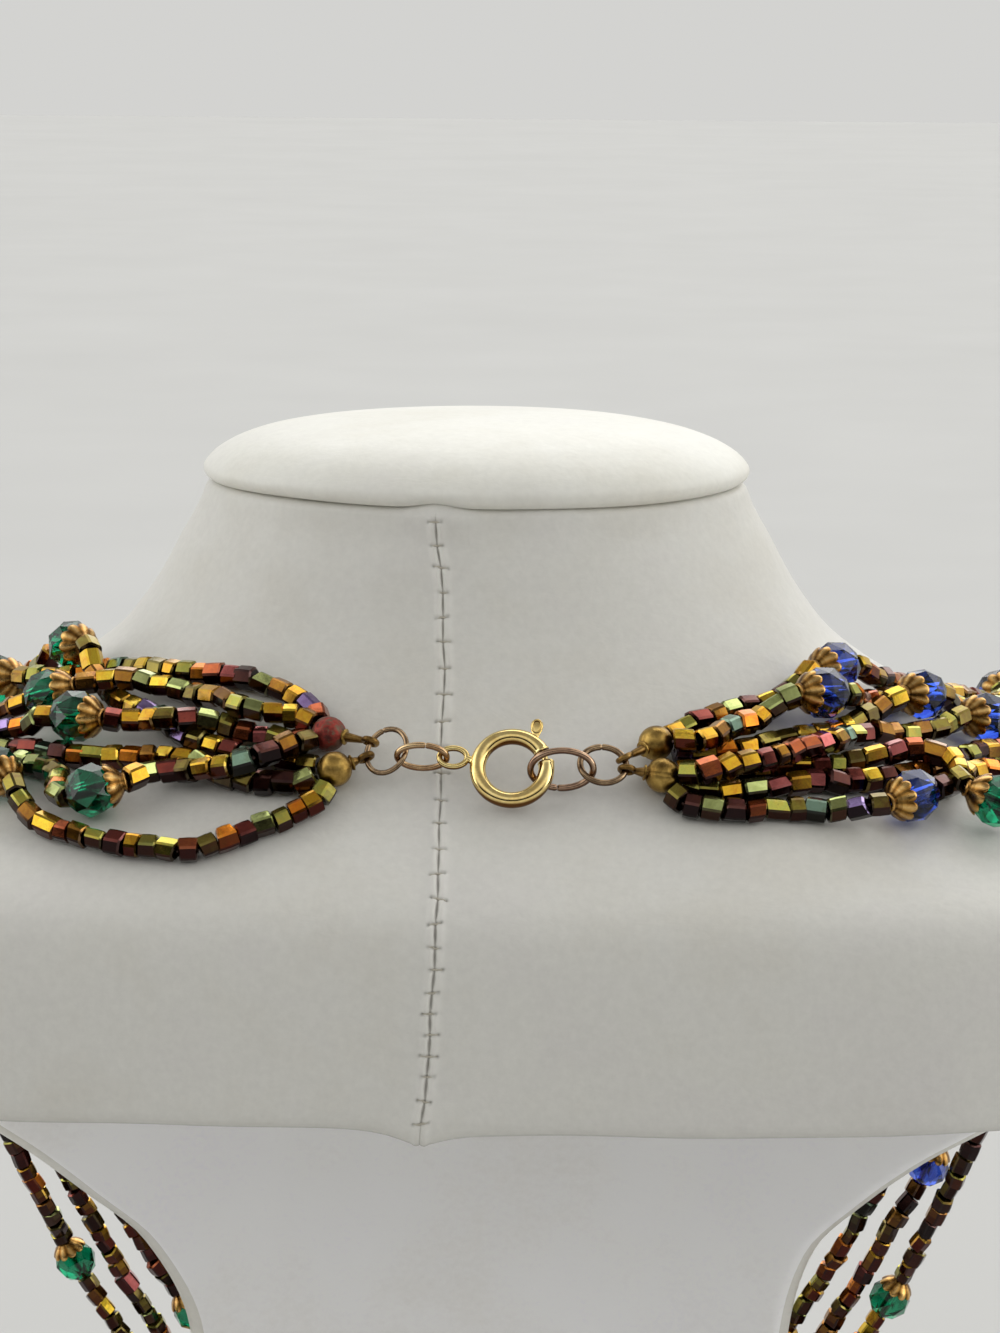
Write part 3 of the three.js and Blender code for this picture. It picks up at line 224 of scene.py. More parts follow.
def make_strands():
    strands = []
    for name, left, right, ltip, rtip, shoulder, bottom in STRANDS:
        l, r = [list(q) for q in LEFT[left]], [list(q) for q in RIGHT[right]]
        rows = l + drape_rows(-1, shoulder, bottom) + [[-180, bottom, 1.6]] + drape_rows(1, shoulder, bottom)[::-1] + r[::-1]
        for i, q in enumerate(rows):
            if i > len(l) + DRAPE_ROWS + 1:
                q[0] -= 360
        points, marks = through(rows)
        p, _, _, n = frame_at(points[:, 0], points[:, 1])
        at = p + n * points[:, 2:3]
        s = np.concatenate([[0], np.cumsum(np.linalg.norm(np.diff(at, axis=0), axis=1))])
        total, half = s[-1], len(points) / 2

        def nearest(v):
            return int(np.argmin(np.abs(s - v)))

        first = next((m for m in marks if m < half), None)
        last = next((m for m in marks if m > half), None)
        first = nearest(64) if first is None else first
        last = nearest(total - 62) if last is None else last
        n = max(1, math.floor((s[last] - s[first]) / GLASS_PITCH + 0.5))
        glass = []
        for k in range(n + 1):
            i = first if k == 0 else last if k == n else nearest(s[first] + (s[last] - s[first]) * k / n)
            glass.append({"i": i, "side": 1 if k <= n / 2 else -1})
        for g in glass:
            t = np.clip((10.5 - np.abs(s - s[g["i"]])) / 6, 0, 1)
            points[:, 2] = np.maximum(points[:, 2], 1.5 + (GLASS_R + GAP + 0.1 - 1.5) * t * t * (3 - 2 * t))
        radius = np.full(len(s), SEED_R)
        for g in glass:
            radius = np.maximum(radius, glass_radius((s - s[g["i"]]) * g["side"]))
        strands.append({"name": name, "ltip": ltip, "rtip": rtip, "p": points, "glass": glass, "r": radius})

    # settle: every strand clear of the skin and of the strands and beads beside it
    P = np.concatenate([st["p"] for st in strands])
    K = np.concatenate([np.full(len(st["p"]), k) for k, st in enumerate(strands)])
    R = np.concatenate([st["r"] for st in strands])
    home = P.copy()
    cuts = np.cumsum([0] + [len(st["p"]) for st in strands])
    tips = [on_skin(*t[:3]) for t in TIPS.values()]
    at = None
    for rnd in range(100):
        p, dp, dh, nn = frame_at(P[:, 0], P[:, 1])
        at = p + nn * P[:, 2:3]
        if rnd % 15 == 0:
            c = np.floor(at / 9).astype(int)
            near = K[:, None] != K[None, :]
            for k in range(3):
                near &= np.abs(c[:, None, k] - c[None, :, k]) <= 1
            A, B = np.nonzero(np.triu(near, 1))
        d = at[A] - at[B]
        l = np.linalg.norm(d, axis=1)
        need = R[A] + R[B] + CLEAR
        hit = l < need
        m = (0.42 * (need[hit] - l[hit]) / np.where(l[hit] == 0, 1, l[hit]))[:, None] * d[hit]
        push = np.zeros_like(at)
        for k in range(3):
            push[:, k] = np.bincount(A[hit], m[:, k], len(at)) - np.bincount(B[hit], m[:, k], len(at))
        for t in tips:
            d = at - t
            l = np.linalg.norm(d, axis=1)
            need = R + BALL_R + CLEAR - 0.1
            push += np.where(l < need, 0.5 * (need - l) / np.maximum(l, 1e-9), 0)[:, None] * d
        m = np.linalg.norm(push, axis=1)
        push *= np.where(m > 0.8, 0.8 / np.maximum(m, 1e-9), 1)[:, None]
        P[:, 2] += (push * nn).sum(1)
        P[:, 0] += (push * dp).sum(1) / np.maximum(0.05, (dp * dp).sum(1))
        P[:, 1] += (push * dh).sum(1) / (dh * dh).sum(1)
        ease = 0.012 if rnd < 75 else 0
        for a, b in zip(cuts, cuts[1:]):
            off = P[a:b] - home[a:b]
            before, after = np.vstack([off[:1], off[:-1]]), np.vstack([off[1:], off[-1:]])
            P[a:b] = home[a:b] + ((before + after) * 0.2 + off * 0.6) * (1 - ease)
        P[:, 2] = np.maximum(P[:, 2], R + GAP + 0.12)
    p, _, _, nn = frame_at(P[:, 0], P[:, 1])
    at = p + nn * P[:, 2:3]
    for st, a, b in zip(strands, cuts, cuts[1:]):
        q = at[a:b].copy()
        for _ in range(3):
            q[1:-1] = 0.5 * q[1:-1] + 0.25 * (q[:-2] + q[2:])
        base = q.copy()
        run = np.concatenate([[0], np.cumsum(np.linalg.norm(np.diff(base, axis=0), axis=1))])
        for g in st["glass"]:
            i, last = g["i"], len(base) - 1
            g["at"] = base[i]
            g["dir"] = unit(base[min(last, i + 2)] - base[max(0, i - 2)])
            for j in range(max(1, i - 5), min(last - 1, i + 5) + 1):
                on = g["at"] + g["dir"] * (run[j] - run[i])
                t = min(1, max(0, (7.5 - abs(run[j] - run[i])) / 3))
                q[j] += (on - q[j]) * t
            if g["side"] < 0:
                g["dir"] = -g["dir"]
        st["at"] = q
    return strands


strands = make_strands()


# ---------------------------------------------------------------- making meshes
def put(name, verts, faces, mats, body=BUST, replaces=(), sharp=35, face_mat=None, corner=None, flat=False):
    """A piece from points in millimetres at the seam's level; corner: {attribute: per-face colours}."""
    me = bpy.data.meshes.new(name)
    v = np.asarray(verts, float).copy()
    v[:, 2] += SEAM_Z
    me.from_pydata((v * 0.001).tolist(), [], [list(map(int, f)) for f in faces])
    ob = bpy.data.objects.new(name, me)
    bpy.context.scene.collection.objects.link(ob)
    for m in mats if isinstance(mats, (list, tuple)) else [mats]:
        me.materials.append(m)
    if face_mat is not None:
        me.polygons.foreach_set("material_index", np.asarray(face_mat, np.int32))
    for attr, per_face in (corner or {}).items():
        layer = me.color_attributes.new(attr, "FLOAT_COLOR", "CORNER")
        per_face = np.asarray(per_face, np.float32)
        if per_face.shape[1] == 3:
            per_face = np.concatenate([per_face, np.ones((len(per_face), 1), np.float32)], 1)
        layer.data.foreach_set("color", np.repeat(per_face, [len(f) for f in faces], axis=0).ravel())
    me.polygons.foreach_set("use_smooth", [not flat] * len(me.polygons))
    me.update()
    if sharp and not flat:
        me.set_sharp_from_angle(angle=math.radians(sharp))
    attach(ob, body)
    if replaces:
        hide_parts(*replaces)
    return ob


def grid_faces(rows, cols, base=0, wrap=False, flip=False):
    r = np.arange(rows - 1)[:, None] * cols
    c = np.arange(cols if wrap else cols - 1)[None, :]
    d = (c + 1) % cols
    f = np.stack([r + c, r + d, r + cols + d, r + cols + c], -1).reshape(-1, 4) + base
    return f[:, ::-1] if flip else f


class Build:
    """Gathers several closed shapes in one mesh."""

    def __init__(self):
        self.v, self.f, self.m, self.n = [], [], [], 0

    def add(self, verts, faces, mat=0):
        verts = np.asarray(verts, float).reshape(-1, 3)
        self.v.append(verts)
        self.f += [[int(i) + self.n for i in f] for f in faces]
        self.m += [mat] * len(faces)
        self.n += len(verts)

    def done(self):
        return np.concatenate(self.v), self.f


def sweep(points, radii, sides=12, dirs=None, squash=None, up=None, cap=True, close=False):
    """Tube along points; rounded off by its own radii; squash = (along up, across)."""
    pts = np.asarray(points, float)
    n = len(pts)
    radii = np.broadcast_to(np.asarray(radii, float), (n,))
    if dirs is None:
        if close:
            dirs = unit(np.roll(pts, -1, 0) - np.roll(pts, 1, 0))
        else:
            dirs = unit(np.vstack([pts[1:2] - pts[:1], pts[2:] - pts[:-2], pts[-1:] - pts[-2:-1]]))
    u = np.asarray(up, float) if up is not None else (np.array([0, 0, 1.0]) if abs(dirs[0][2]) < 0.9 else np.array([1.0, 0, 0]))
    q = 2 * np.pi * np.arange(sides) / sides
    sx, sy = squash or (1, 1)
    verts = []
    for p, t, r in zip(pts, dirs, radii):
        u = unit(u - t * np.dot(u, t))
        w = np.cross(t, u)
        verts.append(p + r * (np.cos(q)[:, None] * u * sx + np.sin(q)[:, None] * w * sy))
    verts = np.concatenate(verts)
    if close:
        faces = grid_faces(n, sides, wrap=True).tolist()
        a = (n - 1) * sides
        faces += [[a + k, a + (k + 1) % sides, (k + 1) % sides, k] for k in range(sides)]
        return verts, faces
    faces = grid_faces(n, sides, wrap=True).tolist()
    if cap:
        faces += [list(range(sides))[::-1], list(range((n - 1) * sides, n * sides))]
    return verts, faces


def ball_rows(at, axis, radius, sides=28, rows=18, shape=None):
    """Round ball about an axis; shape(colatitude, angle) scales its radius."""
    axis = unit(axis)
    u = unit(np.cross(axis, [0, 0, 1.0] if abs(axis[2]) < 0.9 else [1.0, 0, 0]))
    w = np.cross(axis, u)
    verts = [at - axis * radius * (shape(0.0, 0.0) if shape else 1)]
    for k in range(1, rows):
        a = math.pi * k / rows
        for i in range(sides):
            q = 2 * math.pi * i / sides
            r = radius * (shape(a, q) if shape else 1)
            verts.append(at + r * (-axis * math.cos(a) + math.sin(a) * (u * math.cos(q) + w * math.sin(q))))
    verts.append(at + axis * radius * (shape(math.pi, 0.0) if shape else 1))
    faces = [[0, 1 + (i + 1) % sides, 1 + i] for i in range(sides)]
    faces += grid_faces(rows - 1, sides, base=1, wrap=True, flip=False).tolist()
    e = 1 + (rows - 2) * sides
    faces += [[len(verts) - 1, e + i, e + (i + 1) % sides] for i in range(sides)]
    return np.array(verts), faces


def ring_frame(up, turn):
    up, turn = math.radians(up), math.radians(turn)
    n = np.array([math.sin(turn) * math.cos(up), -math.cos(turn) * math.cos(up), math.sin(up)])
    e1 = np.array([math.cos(turn), math.sin(turn), 0])
    return n, e1, np.cross(n, e1)


# ---------------------------------------------------------------- materials
def lin(rgb):
    """0-255 screen colour to linear."""
    c = np.asarray(rgb, float) / 255
    return np.where(c <= 0.04045, c / 12.92, ((c + 0.055) / 1.055) ** 2.4)


class Mat:
    """A node material with object-space coordinates (metres in the row frame)."""

    def __init__(self, name):
        self.m = bpy.data.materials.new(name)
        self.m.use_nodes = True
        self.t = self.m.node_tree
        self.t.nodes.clear()
        self.out = self.n("ShaderNodeOutputMaterial")
        self.b = self.n("ShaderNodeBsdfPrincipled")
        self.link(self.b, 0, self.out, "Surface")
        self.co = self.n("ShaderNodeTexCoord")

    def n(self, kind, **kw):
        node = self.t.nodes.new(kind)
        for k, v in kw.items():
            setattr(node, k, v)
        return node

    def link(self, a, out, b, inp):
        self.t.links.new(a.outputs[out], b.inputs[inp])

    def set(self, **kw):
        for k, v in kw.items():
            self.b.inputs[k.replace("_", " ")].default_value = v
        return self

    def stretched(self, scale):
        m = self.n("ShaderNodeMapping")
        m.inputs["Scale"].default_value = scale
        self.link(self.co, "Object", m, "Vector")
        return m

    def noise(self, scale, detail=3.0, rough=0.55, distort=0.0, vec=None):
        x = self.n("ShaderNodeTexNoise")
        x.inputs["Scale"].default_value = scale
        x.inputs["Detail"].default_value = detail
        x.inputs["Roughness"].default_value = rough
        x.inputs["Distortion"].default_value = distort
        if vec is None:
            self.link(self.co, "Object", x, "Vector")
        else:
            self.link(vec, 0, x, "Vector")
        return x

    def voronoi(self, scale, feature="F1", smooth=None, vec=None):
        x = self.n("ShaderNodeTexVoronoi", feature=feature)
        x.inputs["Scale"].default_value = scale
        if vec is None:
            self.link(self.co, "Object", x, "Vector")
        else:
            self.link(vec, 0, x, "Vector")
        return x

    def ramp(self, src, out, stops):
        r = self.n("ShaderNodeValToRGB")
        e = r.color_ramp.elements
        while len(e) < len(stops):
            e.new(0.5)
        for k, (pos, col) in enumerate(stops):
            e[k].position = pos
            e[k].color = (*col, 1) if len(col) == 3 else col
        self.link(src, out, r, "Fac")
        return r

    def mix(self, fac, a, b, kind="MIX"):
        """fac: number or (node, out); a, b: colour or (node, out)."""
        x = self.n("ShaderNodeMix", data_type="RGBA", blend_type=kind)
        for sock, v in ((x.inputs[0], fac), (x.inputs[6], a), (x.inputs[7], b)):
            if isinstance(v, tuple) and len(v) == 2 and hasattr(v[0], "outputs"):
                self.t.links.new(v[0].outputs[v[1]], sock)
            elif isinstance(v, (int, float)):
                sock.default_value = v
            else:
                sock.default_value = (*v, 1)
        return x

    def math(self, op, a, b=None, clamp=False):
        x = self.n("ShaderNodeMath", operation=op, use_clamp=clamp)
        for sock, v in zip(x.inputs, (a, b)):
            if v is None:
                continue
            if isinstance(v, tuple):
                self.t.links.new(v[0].outputs[v[1]], sock)
            else:
                sock.default_value = v
        return x

    def span(self, src, out, a, b, c, d):
        x = self.n("ShaderNodeMapRange")
        for k, v in zip(("From Min", "From Max", "To Min", "To Max"), (a, b, c, d)):
            x.inputs[k].default_value = v
        self.link(src, out, x, "Value")
        return x

    def bump(self, src, out, depth_mm, strength=1.0, after=None):
        x = self.n("ShaderNodeBump")
        x.inputs["Strength"].default_value = strength
        x.inputs["Distance"].default_value = depth_mm * 0.001
        self.link(src, out, x, "Height")
        if after is not None:
            self.link(after, 0, x, "Normal")
        return x

    def finish(self, colour, rough, bump):
        self.t.links.new(colour[0].outputs[colour[1]], self.b.inputs["Base Color"])
        self.t.links.new(rough[0].outputs[rough[1]], self.b.inputs["Roughness"])
        if bump is not None:
            self.link(bump, 0, self.b, "Normal")
        return self.m


def leather(name, tint=(1, 1, 1), painted_shade_highlight=None, rough=(0.42, 0.58)):
    """Pale coated leather: fine pebble grain, cloudy tone, faint scuffs; from a colour attribute, painted shade (red)
    darker in the seam's creases, and painted highlight (green).
    """
    m = Mat(name)
    t = np.array(tint)
    cloud = m.noise(38, 4, 0.6)
    base = m.ramp(cloud, "Fac", [(0.32, tuple(lin((229, 227, 220)) * t)), (0.5, tuple(lin((234, 233, 228)) * t)), (0.7, tuple(lin((231, 229, 226)) * t))])
    fine = m.noise(950, 3, 0.6)
    tone = m.span(fine, "Fac", 0.3, 0.7, 0.965, 1.025)
    shade = m.mix(1.0, (base, "Color"), (tone, "Result"), "MULTIPLY")
    smudge_n = m.noise(14, 5, 0.62, 0.4)
    smudge = m.ramp(smudge_n, "Fac", [(0.56, (0, 0, 0)), (0.74, (0.32, 0.32, 0.32))])
    worn = m.mix((smudge, "Color"), (shade, 2), tuple(lin((206, 202, 192)) * t))
    col = worn
    if painted_shade_highlight:
        a = m.n("ShaderNodeVertexColor", layer_name=painted_shade_highlight)
        part = m.n("ShaderNodeSeparateColor")
        m.link(a, "Color", part, "Color")
        # painted highlight from the attribute's green channel, painted shade from its red
        col = m.mix((part, "Green"), (col, 2), tuple(lin((250, 248, 242)) * t))
        col = m.mix((part, "Red"), (col, 2), tuple(lin((92, 88, 78)) * t))
    cells = m.voronoi(1250)
    pores = m.voronoi(520)
    creases = m.noise(170, 4, 0.6, 0.6, m.stretched((1, 1, 1.9)))
    b1 = m.bump(cells, "Distance", 0.02, 0.5)
    b2 = m.bump(creases, "Fac", 0.16, 0.5, b1)
    b3 = m.bump(pores, "Distance", 0.02, 0.4, b2)
    r = m.span(m.noise(260, 3), "Fac", 0.3, 0.7, *rough)
    m.set(Specular_IOR_Level=0.42, Sheen_Weight=0.06, Sheen_Roughness=0.4)
    return m.finish((col, 2), (r, "Result"), b3)


def metal(name, stops, patch=240, rough=(0.22, 0.42), depth=0.03, fine=2600, metallic=1.0, spots=None, under=None):
    """Metal whose tone drifts between stops, with fine tooling marks and duller patches; given under, painted shade
    where it faces down.
    """
    m = Mat(name)
    n = m.noise(patch, 4, 0.62, 0.3)
    base = m.ramp(n, "Fac", [(p, tuple(lin(c))) for p, c in stops])
    f = m.noise(fine, 3, 0.6)
    tone = m.span(f, "Fac", 0.25, 0.75, 0.84, 1.1)
    col = m.mix(1.0, (base, "Color"), (tone, "Result"), "MULTIPLY")
    if spots:
        s = m.noise(patch * 2.3, 5, 0.7)
        k = m.ramp(s, "Fac", [(0.55, (0, 0, 0)), (0.66, (1, 1, 1))])
        col = m.mix((k, "Color"), (col, 2), tuple(lin(spots)))
    if under:
        # painted shade where the metal faces down, standing in for the dark reflection from below
        g, z = m.n("ShaderNodeNewGeometry"), m.n("ShaderNodeSeparateXYZ")
        m.link(g, "Normal", z, "Vector")
        painted_underside_shade = m.span(z, "Z", -0.03, -0.3, 0.0, under[1])
        col = m.mix((painted_underside_shade, "Result"), (col, 2), tuple(lin(under[0])))
    r = m.span(m.noise(patch * 1.7, 4, 0.6), "Fac", 0.3, 0.72, *rough)
    b = m.bump(f, "Fac", depth, 0.5)
    b = m.bump(n, "Fac", depth * 3, 0.5, b)
    m.set(Metallic=metallic)
    return m.finish((col, 2), (r, "Result"), b)


def glass(name, deep, pale):
    """Fire-polished glass: tone drifts a little through the bead, with soft polish marks."""
    m = Mat(name)
    n = m.noise(330, 2, 0.5)
    base = m.ramp(n, "Fac", [(0.35, tuple(deep)), (0.68, tuple(pale))])
    r = m.span(m.noise(900, 3), "Fac", 0.3, 0.75, 0.03, 0.09)
    b = m.bump(m.noise(420, 2, 0.4), "Fac", 0.05, 0.5)
    m.set(Transmission_Weight=1.0, IOR=1.46)
    return m.finish((base, "Color"), (r, "Result"), b)


def fluted(name):
    """Pressed bead cap: painted highlight on the petals' crowns and the collar, painted shade in the creases between
    the petals, at the collar's foot and inside the cap.
    """
    m = Mat(name)
    n = m.noise(420, 4, 0.62, 0.3)
    base = m.ramp(n, "Fac", [(0.32, tuple(lin((116, 78, 36)))), (0.5, tuple(lin((172, 122, 58)))), (0.72, tuple(lin((214, 166, 88))))])
    a = m.n("ShaderNodeVertexColor", layer_name="cap_shade_and_highlight")
    part = m.n("ShaderNodeSeparateColor")
    m.link(a, "Color", part, "Color")
    # painted shade from the red channel, painted highlight from the green
    col = m.mix((part, "Red"), (base, "Color"), tuple(lin((20, 9, 5))))
    col = m.mix((part, "Green"), (col, 2), tuple(lin((244, 208, 140))))
    f = m.noise(2600, 3, 0.6)
    tone = m.span(f, "Fac", 0.25, 0.75, 0.84, 1.08)
    col = m.mix(1.0, (col, 2), (tone, "Result"), "MULTIPLY")
    r = m.span(m.noise(700, 4, 0.6), "Fac", 0.3, 0.72, 0.2, 0.36)
    b = m.bump(f, "Fac", 0.04, 0.5)
    b = m.bump(n, "Fac", 0.1, 0.5, b)
    m.set(Metallic=1.0)
    return m.finish((col, 2), (r, "Result"), b)


def seed_finish(name):
    """Metallic iridescent coat: each facet's colour is on the mesh, with painted light on upward facets and painted
    shade on downward ones, and drifts over the bead as a thin coating's colours do.
    """
    m = Mat(name)
    a = m.n("ShaderNodeVertexColor", layer_name="iris_and_painted_light")
    b2 = m.n("ShaderNodeVertexColor", layer_name="film_and_painted_shade")
    n = m.noise(620, 3, 0.55, 0.5)
    k = m.span(n, "Fac", 0.42, 0.72, 0.0, 0.85)
    col = m.mix((k, "Result"), (a, "Color"), (b2, "Color"))
    f = m.noise(3800, 3, 0.6)
    tone = m.span(f, "Fac", 0.25, 0.75, 0.94, 1.04)
    col = m.mix(1.0, (col, 2), (tone, "Result"), "MULTIPLY")
    chips = m.noise(1500, 4, 0.7)
    chip = m.ramp(chips, "Fac", [(0.69, (0, 0, 0)), (0.75, (0.7, 0.7, 0.7))])
    col = m.mix((chip, "Color"), (col, 2), tuple(lin((50, 26, 20))))
    r = m.span(m.noise(1100, 3), "Fac", 0.3, 0.75, 0.1, 0.27)
    b = m.bump(f, "Fac", 0.004, 0.5)
    b = m.bump(n, "Fac", 0.06, 0.5, b)
    m.set(Metallic=0.92, Coat_Weight=0.22, Coat_Roughness=0.06)
    return m.finish((col, 2), (r, "Result"), b)


# one leatherette at different brightness: the body darker as painted shade, the cap brighter as painted light, the
# panel between; the lining its own lilac-grey, brightened as painted light
M_BODY = leather("leatherette_body_shaded", tint=(0.875, 0.87, 0.862), painted_shade_highlight="painted_shade_highlight")
M_CAP = leather("leatherette_cap", tint=(1.045, 1.045, 1.025), rough=(0.4, 0.52))
M_PANEL = leather("leatherette_panel", tint=(0.945, 0.94, 0.93))
M_LINING = leather("leatherette_lining", tint=(1.24, 1.25, 1.34), rough=(0.5, 0.62))
M_FOOT = leather("leatherette_foot", tint=(0.95, 0.945, 0.935))
# stitch thread: its own beige-brown, darkened as painted shade of the sunk stitches
M_THREAD = leather("sewing_thread", tint=(0.6, 0.565, 0.5), rough=(0.6, 0.75))
M_SEED = seed_finish("iris_seed_coat")
M_GREEN = glass("emerald_glass", (0.001, 0.085, 0.036), (0.005, 0.3, 0.14))
M_BLUE = glass("cobalt_glass", (0.01, 0.022, 0.24), (0.04, 0.11, 0.6))
M_FLUTED = fluted("fluted_cap_metal")
M_COPPER = metal("corroded_copper", [(0.34, (84, 36, 32)), (0.46, (158, 58, 48)), (0.55, (116, 80, 66)), (0.7, (92, 78, 66))], patch=420, rough=(0.4, 0.62), depth=0.1, metallic=0.6, spots=(104, 92, 74))
M_OLDBRASS = metal("old_brass", [(0.34, (112, 86, 42)), (0.52, (168, 136, 72)), (0.72, (204, 172, 100))], patch=420, rough=(0.26, 0.42), depth=0.06)
# under: colour and strength of the painted shade on the faces that turn down
M_BRONZE = metal("dull_bronze", [(0.34, (112, 90, 70)), (0.55, (162, 136, 106)), (0.75, (198, 168, 128))], patch=500, rough=(0.14, 0.26), depth=0.03, under=((74, 54, 40), 0.85))
M_ROSE = metal("rose_brass", [(0.34, (170, 136, 102)), (0.55, (214, 182, 138)), (0.75, (240, 216, 172))], patch=480, rough=(0.1, 0.2), depth=0.02, under=((112, 74, 48), 0.8))
M_TAUPE = metal("taupe_brass", [(0.34, (138, 108, 90)), (0.55, (182, 150, 124)), (0.75, (220, 192, 160))], patch=480, rough=(0.1, 0.22), depth=0.02, under=((84, 58, 46), 0.85))
M_BRIGHT = metal("bright_brass", [(0.34, (238, 204, 128)), (0.55, (247, 221, 150)), (0.75, (251, 231, 172))], patch=300, rough=(0.06, 0.11), depth=0.006, under=((92, 50, 18), 0.95))
M_LOOP = metal("loop_brass", [(0.34, (84, 62, 34)), (0.52, (132, 102, 56)), (0.72, (172, 138, 82))], patch=500, rough=(0.26, 0.42), depth=0.05)


# ---------------------------------------------------------------- the bust
def section(h, inset, dz=0.0, count=3000):
    """Closed outline of a level as (points, arc positions), starting at the back's middle."""
    phi = np.linspace(0, 360, count + 1)
    p = skin(phi, np.full(count + 1, float(h)), inset)
    p[:, 2] -= dz
    s = np.concatenate([[0], np.cumsum(np.linalg.norm(np.diff(p[:, :2], axis=0), axis=1))])
    return p, s


SEAM = np.array([  # the sewn seam down the back: across, level of each stitch
    (-3.95, 0.6), (-3.72, -2.69), (-3.56, -5.36), (-3.01, -7.86), (-2.69, -10.79), (-2.6, -13.67), (-2.51, -16.39),
    (-2.15, -19.38), (-2.15, -22.18), (-2.25, -25.01), (-2.22, -27.54), (-2.05, -30.07), (-1.86, -32.6), (-1.94, -34.71),
    (-1.75, -37.05), (-1.7, -39.3), (-1.55, -41.56), (-1.71, -43.94), (-1.69, -46.49), (-1.71, -49.0), (-1.98, -51.7),
    (-2.21, -54.23), (-2.2, -56.77), (-2.32, -59.34), (-2.55, -61.81), (-2.78, -64.67), (-3.24, -67.04), (-3.5, -69.6),
])


def seam_x(h):
    return np.interp(-np.asarray(h, float), -SEAM[:, 1], SEAM[:, 0])


RIM_R = WALL / 2
# rows of the shell from under the cap, down the outside, round the rim and up the inside: level, inset, drop
rows = [(-0.85, 28.6, 0), (-0.85, 14.0, 0), (-0.85, 6.0, 0), (-0.85, 3.4, 0), (-0.88, 2.1, 0), (-0.97, 1.25, 0), (-1.14, 0.68, 0), (-1.4, 0.3, 0), (-1.75, 0.08, 0)]
h = -2.15
while h > RIM_H + RIM_R:
    rows.append((h, 0.0, 0))
    q = SKIN.at(np.array([h, h - 0.5]))
    slope = math.hypot(0.5, max(q[1][1] - q[0][1], q[1][0] - q[0][0]) * 0.75)
    h -= 0.5 / slope * 1.15
for k in range(9):
    a = math.pi * k / 8
    rows.append((RIM_H + RIM_R * (1 - math.sin(a)), RIM_R * (1 - math.cos(a)), 0))
OUTER_END = len(rows) - 1
for h, dz in ((-64, 0), (-58, 0), (-52, 0.5), (-48, 2.2), (-43, 2.5), (-38, 2.5), (-33, 2.5), (-28, 2.5), (-24, 2.0), (-19, 0.4), (-12, 0), (-7, 0), (-5.4, 0)):
    rows.append((h, WALL, dz))
rows += [(TOP_H - ROOF, WALL + 1.0, 0), (TOP_H - ROOF, WALL + 12.0, 0), (TOP_H - ROOF, 28.6, 0)]
rows = np.array(rows, float)
# the leather is drawn in a little where it is tucked up under the cap
tuck = np.clip((rows[:, 0] + 9.5) / 8.0, 0, 1)
rows[:, 1] += np.where(rows[:, 1] < 3.5, 1.0 * tuck * tuck * (3 - 2 * tuck), 0)

HALF = 4.0  # half width of the finely modelled seam strip
COLS = 336
PANEL_EDGE = 97.5


def low_wave(p):
    """Slight unevenness of leather stretched over the form, in millimetres."""
    x, y, z = p[..., 0], p[..., 1], p[..., 2]
    w = 0.10 * np.sin(x / 17.0 + 0.7) * np.sin(z / 13.0 + 1.1) + 0.07 * np.sin(x / 7.3 - z / 9.1 + 0.4)
    w += 0.05 * np.sin(y / 6.1 + z / 5.3) * np.sin(x / 11.0 + 2.0)
    return w


def bulge(p, h):
    """Gathered leather: pushed up under the cap at the seam, slack at the rim."""
    back = np.clip(-p[..., 1] / 12, 0, 1)
    d = p[..., 0] - seam_x(h)
    top = 0.6 * np.exp(-((d / 3.6) ** 2)) * np.exp(-(((h + 2.4) / 1.7) ** 2))
    top += 0.12 * np.sin(d / 1.9) * np.exp(-((d / 16) ** 2)) * np.exp(-(((h + 3.4) / 2.6) ** 2))
    rim = 0.5 * np.exp(-((d / 5.5) ** 2)) * np.exp(-(((h - RIM_H - 1.5) / 3.5) ** 2))
    rim += 0.16 * np.sin(d / 4.4 + 0.6) * np.exp(-(((h - RIM_H - 1.0) / 2.5) ** 2)) * np.exp(-((d / 45) ** 2))
    return (top + rim) * back


def crease_lift(x):
    """How the crease under the cap runs: up at the seam, a little lower to the right of it."""
    d = x + 3.9
    return 0.55 * np.exp(-((d / 2.9) ** 2)) - 0.2 * np.tanh(d / 7) * np.exp(-((d / 30) ** 2)) + 0.07 * np.sin(x / 5.2 + 0.5)


def drop(p, h):
    """How far the rim hangs lower and the top edge rises near the seam, in millimetres."""
    back = np.clip(-p[..., 1] / 12, 0, 1)
    d = p[..., 0] - seam_x(h)
    low = np.clip((h - (RIM_H + 6)) / -6, 0, 1)
    high = np.clip((h + 3.6) / 2.5, 0, 1)
    return back * (
        high * crease_lift(p[..., 0])
        - low * (0.85 * np.exp(-((d / 3.2) ** 2)) + 0.18 * np.sin(p[..., 0] / 14.0))
    )


def front_share(p):
    """1 on the stretch of the lower edge where the front panel carries on down, 0 round the back."""
    return np.clip((p[..., 1] - 6.0) / 5.0, 0, 1)


def normals_of(grid, wrap=False):
    if wrap:
        du = np.roll(grid, -1, 1) - np.roll(grid, 1, 1)
    else:
        du = np.gradient(grid, axis=1)
    dv = np.gradient(grid, axis=0)
    return unit(np.cross(du, -dv))


